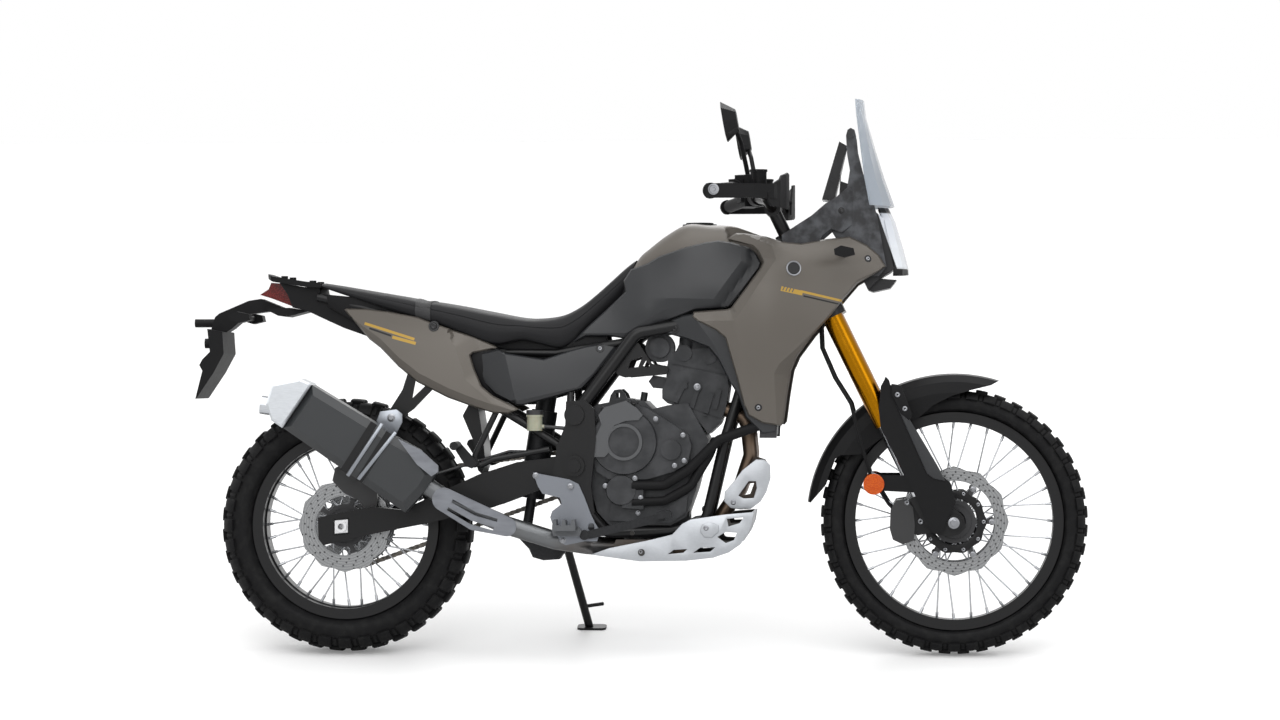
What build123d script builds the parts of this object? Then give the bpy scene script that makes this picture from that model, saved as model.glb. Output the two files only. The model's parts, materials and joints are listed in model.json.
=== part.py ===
"""Adventure motorcycle with wire wheels, parked on its side stand.

Every piece is drawn upright, in millimetres: X forward from the rear axle, Y to the left, Z up from the
ground. At the end the whole machine leans to its left onto the side stand, with its origin on the ground
under the middle of its outer box.
"""

import math
import os

from build123d import *

os.makedirs("parts", exist_ok=True)

# ---------------------------------------------------------------- driving sizes
wheelbase = 1595
lean_angle = 10  # to the left, onto the side stand
origin_forward = 766.4  # rear axle to the origin, along the machine
origin_left = -230.7  # wheel line to the origin, across the machine

front_tyre_radius = 348
front_tyre_width = 92
front_rim_radius = 286  # outside of the flanges
front_rim_inner = 258
front_rim_width = 60

rear_tyre_radius = 333.5
rear_tyre_width = 150
rear_rim_radius = 248
rear_rim_inner = 215
rear_rim_width = 116

crown_share = 0.5  # of the half width, where the tread starts to fall away
front_crown_drop = 2.4
front_knob_rows = 34
rear_knob_rows = 28
knob_depth = 9.5
knob_share = 0.64  # of the way from one row of knobs to the next

rake = 26
fork_spread = 105  # centre of the machine to a fork leg
yoke_offset = 20  # steering axis to the fork legs
axle_lead = 50  # fork legs to the front axle
fork_outer_radius = 27
fork_inner_radius = 21.5

running_gap = 0.3  # between pieces that turn on each other
panel_wall = 4

# ---------------------------------------------------------------- places that follow from them
rear_axle = Vector(0, 0, rear_tyre_radius)
front_axle = Vector(wheelbase, 0, front_tyre_radius)
steer_forward = Vector(math.cos(math.radians(rake)), 0, math.sin(math.radians(rake)))
steer_up = Vector(-math.sin(math.radians(rake)), 0, math.cos(math.radians(rake)))
steer_foot = front_axle - steer_forward * (yoke_offset + axle_lead)
# head plane: z up the steering axis from level with the front axle, x forward, y to the left
head = Plane(origin=steer_foot, x_dir=steer_forward, z_dir=steer_up)
lean_sine = math.sin(math.radians(lean_angle))
lean_cosine = math.cos(math.radians(lean_angle))
# leaning rolls each tyre onto the edge of its crown, so the machine is lifted by what that edge sinks
floor_rise = crown_share * front_tyre_width / 2 * lean_sine - front_crown_drop * lean_cosine
rear_crown_drop = (crown_share * rear_tyre_width / 2 * lean_sine - floor_rise) / lean_cosine
parked = Location((-origin_forward, origin_left, floor_rise), (-lean_angle, 0, 0))
right = Plane.XZ  # seen from the right-hand side: x forward, y up, and z out to the right

pieces = {}


def keep(name, piece):
    """Leans a finished piece with the machine, labels it and writes it."""
    pieces[name] = piece
    placed = piece.moved(parked)
    placed.label = name
    export_step(placed, f"parts/{name}.step")


def outline(*points):
    """A closed face through the points, in the sketch that is open."""
    with BuildLine() as edge:
        Polyline(*points, close=True)
    make_face(edge.edges())


def rod(start, end, radius):
    """A round bar between two points, in the part that is open."""
    start, end = Vector(*start), Vector(*end)
    with Locations(Plane(origin=start, z_dir=end - start).location):
        Cylinder(radius, (end - start).length, align=(Align.CENTER, Align.CENTER, Align.MIN))


def bent_tube(points, radius, bend):
    """A round tube along straight runs with round bends, in the part that is open."""
    with BuildLine() as run:
        FilletPolyline(*points, radius=bend)
    with BuildSketch(Plane(origin=run.line @ 0, z_dir=run.line % 0)) as section:
        Circle(radius)
    sweep(section.sketch, path=run.line)


def both_sides(points):
    """The points, and their twins across the machine."""
    return [list(points), [(x, -y, z) for x, y, z in points]]


def band(points, wall):
    """The closed edge of a strip of even width that follows the points and lies on their right."""
    inner = []
    for n, (x, y) in enumerate(points):
        x0, y0 = points[max(n - 1, 0)]
        x1, y1 = points[min(n + 1, len(points) - 1)]
        run = math.hypot(x1 - x0, y1 - y0)
        inner.append((x + (y1 - y0) * wall / run, y - (x1 - x0) * wall / run))
    return list(points) + inner[::-1]


def skin(sections, wall=panel_wall):
    """A thin wall through level sections, each a height and the points it passes, rear to front."""
    cells = []
    for levels in zip(sections, sections[1:]):
        strips = [(height, band(points, wall)) for height, points in levels]
        for n in range(len(levels[0][1]) - 1):
            ends = []
            for height, strip in strips:
                with BuildLine(Plane.XY.offset(height)) as edge:
                    Polyline(strip[n], strip[n + 1], strip[-2 - n], strip[-1 - n], close=True)
                ends.append(Face(edge.wire()))
            cells.append(loft(ends, ruled=True))
    with BuildPart() as made:
        add(cells)
    return made.part


def side_plate(points, near, far, mode=Mode.ADD):
    """An upright plate with its outline seen from the side, from near to far across the machine."""
    with BuildSketch(right.offset(-near)) as face:
        outline(*points)
    extrude(face.sketch, amount=near - far, mode=mode)


def both_plates(points, near, far, mode=Mode.ADD):
    """The same plate on the left and on the right."""
    side_plate(points, near, far, mode)
    side_plate(points, -near, -far, mode)


def panel(sections, edge, wall=panel_wall, windows=()):
    """A pair of body panels: a skin trimmed to its edge as seen from the side, on both sides."""
    with BuildPart() as made:
        add(skin(sections, wall))
        side_plate(edge, 0, 400, Mode.INTERSECT)
        for window in windows:
            side_plate(window, 0, 400, Mode.SUBTRACT)
        mirror(about=Plane.XZ)
    return made.part


def stations(places, widths):
    """One section's points from its places along the machine and its half widths there."""
    return list(zip(places, widths))


# ================================================================ wheels
hub_flange_radius = 42
axle_radius = 12.5
spoke_radius = 2
nipple_radius = 3.5
nipple_length = 16
spoke_count = 36
disc_thickness = 4.5


def wheel_cut(centre, angle):
    """The plane through a wheel's axle at that angle: x outwards from the axle, y to the right."""
    turn = math.radians(angle)
    return Plane(
        origin=centre, x_dir=(math.cos(turn), 0, math.sin(turn)), z_dir=(math.sin(turn), 0, -math.cos(turn)),
    )


def facets(centre, points, start, step, count):
    """Part of a ring in flat facets: an outline of radius and place across, in planes some degrees apart."""
    # the corners stand out, so that the middle of each facet is on the circle
    stretch = 1 / math.cos(math.radians(step / 2))
    with BuildPart() as made:
        for n in range(count + 1):
            with BuildSketch(wheel_cut(centre, start + n * step)):
                outline(*[(radius * stretch, across) for radius, across in points])
        loft(ruled=True)
    return made.part


def either_side(points):
    """An outline from its right-hand half: the points, and back along their twins."""
    return points + [(radius, -across) for radius, across in points[::-1]]


def tyre(centre, outer, width, bead, flange, rim_width, drop, knobs):
    """A tyre in flat facets, one to a row of knobs: its carcass, and the knobs from shoulder to shoulder."""
    half = width / 2
    seat = rim_width / 2 - 6
    depth = outer - bead
    shoulder = outer - depth * 0.16
    carcass = [
        (bead, seat),
        (flange + 1, seat),
        (bead + depth * 0.55, half),
        (shoulder - knob_depth, half * 0.86),
        (outer - drop - knob_depth, half * crown_share),
    ]
    knob = [
        (shoulder - knob_depth - 6, half * 0.8),
        (shoulder - knob_depth - 4, half * 0.975),
        (shoulder, half * 0.89),
        (outer - drop, half * crown_share),
    ]
    pitch = 360 / knobs
    with BuildPart() as made:
        for start in (-90 - pitch / 2, 90 - pitch / 2):
            add(facets(centre, either_side(carcass), start, pitch, knobs // 2))
        row = facets(centre, either_side(knob), -90 - pitch * knob_share / 2, pitch * knob_share, 1)
        add([row.rotate(Axis(centre, (0, 1, 0)), n * pitch) for n in range(knobs)])
    return made.part


def rim(centre, flange, inner, width, bead):
    """A spoked wheel's rim: a well in the middle and a flange at each edge."""
    half = width / 2
    lip = 3
    with BuildPart() as made:
        with BuildSketch(Plane(origin=centre, x_dir=(0, 1, 0), z_dir=(1, 0, 0))):
            outline(
                (-half, flange - 2),
                (-half, bead - 10),
                (-half * 0.55, inner + 4),
                (-half * 0.38, inner),
                (half * 0.38, inner),
                (half * 0.55, inner + 4),
                (half, bead - 10),
                (half, flange - 2),
                (half - 2, flange),
                (half - 6, flange - lip),
                (half - 6, bead),
                (half - 12, bead),
                (half * 0.38, inner + 5),
                (-half * 0.38, inner + 5),
                (-half + 12, bead),
                (-half + 6, bead),
                (-half + 6, flange - lip),
                (-half + 2, flange),
            )
        revolve(axis=Axis(centre, (0, 1, 0)))
    return made.part


def spoked_hub(centre, flange_half, barrel, bore, rim_inner, tip_half, count):
    """A hub barrel with two flanges and its crossed wire spokes, which stop in nipples on the rim."""
    tangent = math.radians(52)  # how far round the hub each spoke starts from where it ends
    with BuildPart() as made:
        with BuildSketch(Plane(origin=centre, x_dir=(0, 1, 0), z_dir=(1, 0, 0))):
            outline(
                (-flange_half - 4, bore),
                (-flange_half - 4, hub_flange_radius),
                (-flange_half + 4, hub_flange_radius),
                (-flange_half + 8, barrel),
                (flange_half - 8, barrel),
                (flange_half - 4, hub_flange_radius),
                (flange_half + 4, hub_flange_radius),
                (flange_half + 4, bore),
            )
        revolve(axis=Axis(centre, (0, 1, 0)))
        for n in range(count):
            side = 1 if n % 2 else -1
            lean = 1 if n % 4 < 2 else -1
            at_rim = 2 * math.pi * n / count
            at_hub = at_rim + lean * tangent
            seat = hub_flange_radius - 4
            foot = centre + Vector(math.cos(at_hub) * seat, side * flange_half, math.sin(at_hub) * seat)
            tip = centre + Vector(math.cos(at_rim) * rim_inner, side * tip_half, math.sin(at_rim) * rim_inner)
            way = (tip - foot).normalized()
            rod(foot, tip, spoke_radius)
            rod(tip - way * nipple_length, tip + way * 2, nipple_radius)
        with Locations(Location(centre, (90, 0, 0))):
            Cylinder(rim_inner, flange_half * 4, mode=Mode.INTERSECT)
    return made.part


def wave_disc(centre, outer, inner, waves, depth, arms, hub, bolt_circle):
    """A brake disc with a scalloped rim and a spider that carries it on the hub's flange."""
    steps = waves * 4
    with BuildPart() as made:
        with BuildSketch(Plane(origin=centre, x_dir=(1, 0, 0), z_dir=(0, -1, 0))):
            with BuildLine():
                Polyline(
                    *[
                        (
                            (outer - depth + depth * math.cos(waves * a)) * math.cos(a),
                            (outer - depth + depth * math.cos(waves * a)) * math.sin(a),
                        )
                        for a in (2 * math.pi * n / steps for n in range(steps))
                    ],
                    close=True,
                )
            make_face()
            Circle(inner, mode=Mode.SUBTRACT)
            with PolarLocations(bolt_circle, arms):
                Circle(9)
            with PolarLocations((bolt_circle + hub) / 2, arms):
                Rectangle(bolt_circle - hub + 12, 12)
            Circle(hub + 10)
            Circle(hub, mode=Mode.SUBTRACT)
        extrude(amount=disc_thickness / 2, both=True)
    return made.part


front_bead = 267
rear_bead = 229
front_disc_radius = 141
front_disc_side = 62
rear_disc_radius = 122.5
rear_disc_side = 66
front_hub_half = 34
rear_hub_half = 44
sprocket_side = 88
sprocket_teeth = 46
chain_pitch = 15.875

keep(
    "front_tyre",
    tyre(
        front_axle,
        front_tyre_radius,
        front_tyre_width,
        front_bead,
        front_rim_radius,
        front_rim_width,
        front_crown_drop,
        front_knob_rows,
    ),
)
keep("front_rim", rim(front_axle, front_rim_radius, front_rim_inner, front_rim_width, front_bead))
keep(
    "front_hub",
    spoked_hub(
        front_axle, front_hub_half, 26, axle_radius + running_gap, front_rim_inner, 6, spoke_count
    ),
)
with BuildPart() as front_discs:
    for side in (-1, 1):
        add(
            wave_disc(
                front_axle + Vector(0, side * front_disc_side, 0), front_disc_radius, 106, 12, 4, 6, 46, 98
            )
        )
        # boss between the hub's flange and the disc
        with BuildSketch(Plane(
            origin=front_axle + Vector(0, side * front_disc_side, 0), z_dir=(0, -side, 0),
        )):
            Circle(56)
            Circle(30, mode=Mode.SUBTRACT)
        extrude(amount=front_disc_side - front_hub_half - 4)
keep("front_discs", front_discs.part)

keep(
    "rear_tyre",
    tyre(
        rear_axle,
        rear_tyre_radius,
        rear_tyre_width,
        rear_bead,
        rear_rim_radius,
        rear_rim_width,
        rear_crown_drop,
        rear_knob_rows,
    ),
)
keep("rear_rim", rim(rear_axle, rear_rim_radius, rear_rim_inner, rear_rim_width, rear_bead))
keep(
    "rear_hub",
    spoked_hub(
        rear_axle, rear_hub_half, 34, axle_radius + running_gap, rear_rim_inner, 14, spoke_count
    ),
)
with BuildPart() as rear_disc:
    add(wave_disc(rear_axle + Vector(0, -rear_disc_side, 0), rear_disc_radius, 78, 12, 3.5, 5, 46, 74))
    with BuildSketch(Plane(origin=rear_axle + Vector(0, -rear_disc_side, 0), z_dir=(0, 1, 0))):
        Circle(56)
        Circle(30, mode=Mode.SUBTRACT)
    extrude(amount=rear_disc_side - rear_hub_half - 4)
keep("rear_disc", rear_disc.part)

sprocket_pitch_radius = chain_pitch / (2 * math.sin(math.pi / sprocket_teeth))
with BuildPart() as sprocket:
    with BuildSketch(Plane(
        origin=rear_axle + Vector(0, sprocket_side, 0), x_dir=(1, 0, 0), z_dir=(0, -1, 0),
    )):
        Circle(sprocket_pitch_radius - 5)
        with PolarLocations(sprocket_pitch_radius - 5, sprocket_teeth):
            Trapezoid(9, 10, 75, rotation=-90)
        Circle(46, mode=Mode.SUBTRACT)
        with PolarLocations(sprocket_pitch_radius - 30, 10):
            Circle(11, mode=Mode.SUBTRACT)
    extrude(amount=2.5, both=True)
    with BuildSketch(Plane(origin=rear_axle + Vector(0, sprocket_side, 0), z_dir=(0, -1, 0))):
        Circle(58)
        Circle(30, mode=Mode.SUBTRACT)
    extrude(amount=sprocket_side - rear_hub_half - 4)
keep("rear_sprocket", sprocket.part)


# ================================================================ fork and steering
lug_half = 22  # half the thickness of the casting at the foot of a leg
lug_inner = fork_spread - lug_half
lug_outer = fork_spread + lug_half
outer_tube_low = 305  # heights on the steering axis
outer_tube_top = 865
inner_tube_low = 105
lower_yoke = (615, 650)
upper_yoke = (830, 862)
head_tube = (660, 822)
stem_radius = 25
bar_height = 942
disc_clearance = 5
guard_side = 134


def leg_plane(across):
    """Upright plane along a fork leg: x forward, y up the leg, out to the right."""
    return Plane(origin=steer_foot + Vector(0, across, 0), x_dir=steer_forward, z_dir=(0, -1, 0))


with BuildPart() as fork_yokes:
    for (low, high), stem, lobe in ((lower_yoke, 36, 37), (upper_yoke, 34, 35)):
        with BuildSketch(head.offset(low)):
            with Locations((yoke_offset, fork_spread), (yoke_offset, -fork_spread)):
                Circle(lobe)
            Circle(stem)
            make_hull()
            with Locations((yoke_offset, fork_spread), (yoke_offset, -fork_spread)):
                Circle(fork_outer_radius, mode=Mode.SUBTRACT)
        extrude(amount=high - low)
    with BuildSketch(head.offset(lower_yoke[0])):
        Circle(stem_radius)
    extrude(amount=upper_yoke[1] - lower_yoke[0] + 8)
    # risers under the handlebar
    with BuildSketch(head.offset(upper_yoke[1])):
        with Locations((3, 45), (3, -45)):
            Circle(17)
    extrude(amount=bar_height - upper_yoke[1] - 14)

with BuildPart() as fork_outer_tubes:
    with BuildSketch(head.offset(outer_tube_low)):
        with Locations((yoke_offset, fork_spread), (yoke_offset, -fork_spread)):
            Circle(fork_outer_radius)
    extrude(amount=outer_tube_top - outer_tube_low)
keep("fork_outer_tubes", fork_outer_tubes.part)

with BuildPart() as fork_inner_tubes:
    with BuildSketch(head.offset(inner_tube_low)):
        with Locations((yoke_offset, fork_spread), (yoke_offset, -fork_spread)):
            Circle(fork_inner_radius)
    extrude(amount=outer_tube_low - inner_tube_low)
keep("fork_inner_tubes", fork_inner_tubes.part)

with BuildPart() as fork_feet:
    for across in (-fork_spread, fork_spread):
        with BuildSketch(leg_plane(across)):
            outline(
                (-8, 105),
                (48, 105),
                (50, 62),
                (90, 26),
                (97, 0),
                (90, -24),
                (68, -32),
                (38, -26),
                (8, 0),
                (-4, 50),
            )
            with Locations((yoke_offset + axle_lead, 0)):
                Circle(axle_radius, mode=Mode.SUBTRACT)
        extrude(amount=lug_half, both=True)
    # arm that carries the caliper
    for side in (-1, 1):
        with BuildSketch(Plane(
            origin=steer_foot + Vector(0, side * lug_inner, 0), x_dir=steer_forward, z_dir=(0, side, 0),
        )):
            outline(*[(x, -side * z) for x, z in (
                (10, 100), (-50, 92), (-66, 70), (-62, 40), (-30, 10), (10, 0), (40, 30),
            )])
        extrude(amount=10)

with BuildPart() as front_axle_bar:
    rod(front_axle - Vector(0, lug_outer, 0), front_axle + Vector(0, lug_outer, 0), axle_radius)
    for side in (-1, 1):
        rod(front_axle + Vector(0, side * 39, 0), front_axle + Vector(0, side * lug_inner, 0), 19)
        rod(
            front_axle + Vector(0, side * lug_outer, 0), front_axle + Vector(0, side * (lug_outer + 6), 0),
            20,
        )
with BuildPart() as feet_and_axle:
    add([fork_feet.part, front_axle_bar.part])
keep("fork_feet", feet_and_axle.part)

caliper_edge = (
    (1428, 330),
    (1436, 302),
    (1462, 290),
    (1490, 300),
    (1493, 340),
    (1488, 385),
    (1470, 408),
    (1444, 404),
    (1430, 380),
)
with BuildPart() as front_calipers:
    both_plates(caliper_edge, 40, 100)
    for side in (-1, 1):
        with Locations(Location(front_axle + Vector(0, side * front_disc_side, 0), (90, 0, 0))):
            Cylinder(front_disc_radius + 6, disc_thickness + 2 * disc_clearance, mode=Mode.SUBTRACT)
    add(fork_feet.part, mode=Mode.SUBTRACT)
keep("front_calipers", front_calipers.part)

guard_edge = (
    (1418, 724),
    (1426, 715),
    (1440, 660),
    (1470, 615),
    (1520, 545),
    (1560, 470),
    (1585, 450),
    (1598, 400),
    (1585, 375),
    (1572, 345),
    (1563, 320),
    (1545, 322),
    (1530, 330),
    (1490, 425),
    (1405, 590),
    (1400, 640),
    (1405, 700),
)
guard_front = (
    (1418, 724), (1426, 715), (1440, 660), (1470, 615), (1520, 545), (1560, 470), (1585, 450), (1598, 400),
)
with BuildPart() as fork_guards:
    both_plates(guard_edge, guard_side, guard_side + 6)
    both_plates(band(guard_front, 5), 108, guard_side)
    for x, z in ((1555, 345), (1512, 400)):
        for side in (-1, 1):
            rod((x, side * lug_outer, z), (x, side * guard_side, z), 8)
    # tail that carries the reflector
    both_plates(
        ((1500, 425), (1405, 430), (1382, 425), (1366, 447), (1382, 470), (1405, 470), (1476, 470)),
        guard_side, guard_side + 4,
    )
    # bracket in front of the tubes, out from the mudguard
    both_plates(((1424, 700), (1436, 704), (1448, 660), (1474, 612), (1456, 622), (1434, 664)), 68, 108)
keep("fork_guards", fork_guards.part)

with BuildPart() as fork_reflectors:
    for side in (-1, 1):
        rod((1387, side * (guard_side + 4), 447), (1387, side * (guard_side + 12), 447), 27)
keep("fork_reflectors", fork_reflectors.part)

fender_half = 62
fender_radius = 385
fender_edge = (
    (1716, 716),
    (1700, 760),
    (1200, 760),
    (1200, 400),
    (1222, 396),
    (1260, 440),
    (1285, 510),
    (1300, 520),
    (1350, 522),
    (1400, 560),
    (1480, 606),
    (1500, 615),
    (1540, 650),
    (1590, 675),
    (1640, 690),
    (1690, 702),
)
with BuildPart() as front_fender:
    with BuildSketch(Plane(origin=front_axle, x_dir=(0, 1, 0), z_dir=(1, 0, 0))):
        outline(
            (-fender_half - 4, 280),
            (-fender_half - 4, 335),
            (-fender_half + 2, fender_radius - 22),
            (-fender_half + 24, fender_radius - 4),
            (0, fender_radius),
            (fender_half - 24, fender_radius - 4),
            (fender_half - 2, fender_radius - 22),
            (fender_half + 4, 335),
            (fender_half + 4, 280),
            (fender_half, 280),
            (fender_half, 334),
            (fender_half - 6, fender_radius - 25),
            (fender_half - 26, fender_radius - 8),
            (0, fender_radius - 4),
            (-fender_half + 26, fender_radius - 8),
            (-fender_half + 6, fender_radius - 25),
            (-fender_half, 334),
            (-fender_half, 280),
        )
    revolve(axis=Axis(front_axle, (0, 1, 0)))
    side_plate(fender_edge, -100, 100, Mode.INTERSECT)
keep("front_fender", front_fender.part)


# ================================================================ handlebar and what it carries
grip_radius = 17
bar_radius = 14
bar_side = ((1122, 60, 1165), (1105, 130, 1195), (1060, 265, 1208), (989, 435, 1192))
grip_start = Vector(*bar_side[2])
grip_end = Vector(*bar_side[3])
grip_way = (grip_end - grip_start).normalized()
grip_length = 125

with BuildPart() as handlebar:
    bent_tube([(x, -y, z) for x, y, z in bar_side[::-1]] + list(bar_side), bar_radius, 45)
    # clamp caps on the risers
    for across in (-45, 45):
        with Locations(Location(Vector(1122, across, 1165), (90, 0, 0))):
            Cylinder(22, 36)
    add(fork_yokes.part, mode=Mode.SUBTRACT)
with BuildPart() as yokes_and_bar:
    add([fork_yokes.part, handlebar.part])
keep("fork_yokes", yokes_and_bar.part)

with BuildPart() as bar_grips:
    for side in (-1, 1):
        end = Vector(grip_end.X, side * grip_end.Y, grip_end.Z)
        way = Vector(grip_way.X, side * grip_way.Y, grip_way.Z)
        rod(end - way * grip_length, end, grip_radius)
        rod(end, end + way * 16, 14)
        rod(end + way * 16, end + way * 24, 20)
        rod(end - way * grip_length, end - way * (grip_length - 6), 22)
    add(handlebar.part, mode=Mode.SUBTRACT)
keep("bar_grips", bar_grips.part)

with BuildPart() as switch_housings:
    for side in (-1, 1):
        end = Vector(grip_end.X, side * grip_end.Y, grip_end.Z)
        way = Vector(grip_way.X, side * grip_way.Y, grip_way.Z)
        mid = end - way * (grip_length + 26)
        with Locations(Plane(origin=mid, x_dir=(0, 0, 1), z_dir=way).location):
            Box(46, 40, 42)
            with Locations((12, -12, 0)):
                Box(42, 34, 30)
    add(handlebar.part, mode=Mode.SUBTRACT)

with BuildPart() as brake_reservoirs:
    for side in (-1, 1):
        with Locations(Location((1093, side * 232, 1232), (0, 0, 0))):
            Cylinder(21, 36)
            with Locations((0, 0, 20)):
                Cylinder(23, 6)
        rod((1093, side * 232, 1216), (1072, side * 228, 1206), 11)
        # clamp ring on the bar
        way = Vector(grip_way.X, side * grip_way.Y, grip_way.Z)
        ring = Vector(1070, side * 232, 1205)
        rod(ring - way * 12, ring + way * 12, 21)
    add(handlebar.part, mode=Mode.SUBTRACT)
    add(switch_housings.part, mode=Mode.SUBTRACT)

lever_edge = (
    (1082, 236),
    (1096, 232),
    (1106, 292),
    (1080, 378),
    (1060, 425),
    (1052, 424),
    (1050, 414),
    (1066, 372),
    (1092, 290),
)
with BuildPart() as hand_levers:
    for side in (-1, 1):
        with BuildSketch(Plane.XY.offset(1188)) as blade:
            outline(*[(x, side * y) for x, y in lever_edge])
        extrude(blade.sketch, amount=13)
        rod((1088, side * 240, 1188), (1088, side * 240, 1212), 9)
        rod((1088, side * 240, 1200), (1072, side * 246, 1204), 7)
    add(handlebar.part, mode=Mode.SUBTRACT)
    add(switch_housings.part, mode=Mode.SUBTRACT)
    add(brake_reservoirs.part, mode=Mode.SUBTRACT)
with BuildPart() as hand_controls:
    add([switch_housings.part, brake_reservoirs.part, hand_levers.part])
keep("hand_controls", hand_controls.part)

guard_sweep = ((1122, 440), (1150, 400), (1163, 330), (1168, 260), (1160, 215))
with BuildPart() as hand_guards:
    for low, high, spread in ((1150, 1196, 1.0), (1196, 1243, 1.0)):
        with BuildSketch(Plane.XY.offset(low)):
            outline(*band(guard_sweep, -5))
        extrude(amount=high - low)
    # rim that trims the shell's corners as seen from the front
    with BuildSketch(Plane.YZ.offset(900)):
        outline(
            (205, 1160), (235, 1238), (300, 1243), (380, 1232), (430, 1205), (450, 1175), (430, 1152),
            (330, 1150), (240, 1152),
        )
    extrude(amount=400, mode=Mode.INTERSECT)
    # arm to the end of the bar
    with BuildSketch(Plane.XY.offset(1172)):
        outline(
            (970, 462), (1000, 470), (1090, 462), (1140, 432), (1150, 405), (1143, 398), (1126, 424),
            (1085, 449), (1004, 457), (975, 452),
        )
    extrude(amount=36)
    # inner stay to the bar
    rod((1162, 222, 1190), (1092, 178, 1198), 8)
    mirror(about=Plane.XZ)
    add(handlebar.part, mode=Mode.SUBTRACT)
    add(bar_grips.part, mode=Mode.SUBTRACT)
keep("hand_guards", hand_guards.part)

mirror_face = (
    (302, 1345), (318, 1388), (350, 1410), (430, 1416), (474, 1398), (480, 1362), (462, 1330), (400, 1316),
    (330, 1320),
)
mirror_back = (
    (352, 1352), (356, 1376), (366, 1388), (410, 1392), (432, 1384), (436, 1366), (428, 1348), (396, 1338),
    (360, 1342),
)
mirror_plane = Plane(origin=(1021, 0, 1316), x_dir=(0, 1, 0), z_dir=(0.985, 0, 0.17))
mirror_depth = 34
with BuildPart() as mirrors:
    bent_tube([(1072, 275, 1215), (1064, 290, 1260), (1052, 322, 1318), (1040, 385, 1352)], 6, 12)
    rod((1072, 275, 1228), (1074, 275, 1212), 11)
    for deep, edge in ((0, mirror_face), (mirror_depth, mirror_back)):
        with BuildSketch(mirror_plane.offset(deep)):
            outline(*[(y, z - 1316) for y, z in edge])
    loft(ruled=True)
    mirror(about=Plane.XZ)
    add(handlebar.part, mode=Mode.SUBTRACT)
    add(brake_reservoirs.part, mode=Mode.SUBTRACT)
    add(switch_housings.part, mode=Mode.SUBTRACT)
keep("mirrors", mirrors.part)

with BuildPart() as brake_hoses:
    for side in (-1, 1):
        bent_tube(
            [
                (1249, side * 85, 870),
                (1252, side * 98, 800),
                (1286, side * 122, 722),
                (1328, side * 142, 655),
                (1352, side * 140, 560),
                (1378, side * 120, 470),
                (1425, side * 92, 395),
                (1440, side * 90, 380),
            ],
            4.5,
            12,
        )
    add(fork_yokes.part, mode=Mode.SUBTRACT)
    add(front_calipers.part, mode=Mode.SUBTRACT)
    add(fork_guards.part, mode=Mode.SUBTRACT)
keep("brake_hoses", brake_hoses.part)


# ================================================================ frame
pivot = Vector(612, 0, 493)
plate_inner = 130
plate_outer = 146
arm_inner = 100
arm_outer = 128
spar_radius = 17
cradle_radius = 14
rail_radius = 11
head_bore = stem_radius + running_gap
pivot_half = plate_outer + 9

brace_side = 108
brace_edge = (
    (712, 742),
    (724, 728),
    (742, 722),
    (830, 730),
    (846, 738),
    (846, 750),
    (812, 758),
    (776, 812),
    (752, 812),
    (728, 776),
)

stand_pivot = Vector(560, 126, 300)
stand_reach = (618, 262)
stand_foot = Vector(*stand_reach, (stand_reach[1] * lean_sine - floor_rise) / lean_cosine)
stand_down = (stand_foot - stand_pivot).normalized()
stand_back = Vector(-0.97, 0.14, 0.08).normalized()
stand_axis = stand_down.cross(stand_back).normalized()
stand_bolt = 6
eye_half = 5.5
stand_eye = Plane(origin=stand_pivot, x_dir=stand_down, z_dir=stand_axis)
floor_plane = Plane(origin=stand_foot, x_dir=(1, 0, 0), z_dir=(0, -lean_sine, lean_cosine))

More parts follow.
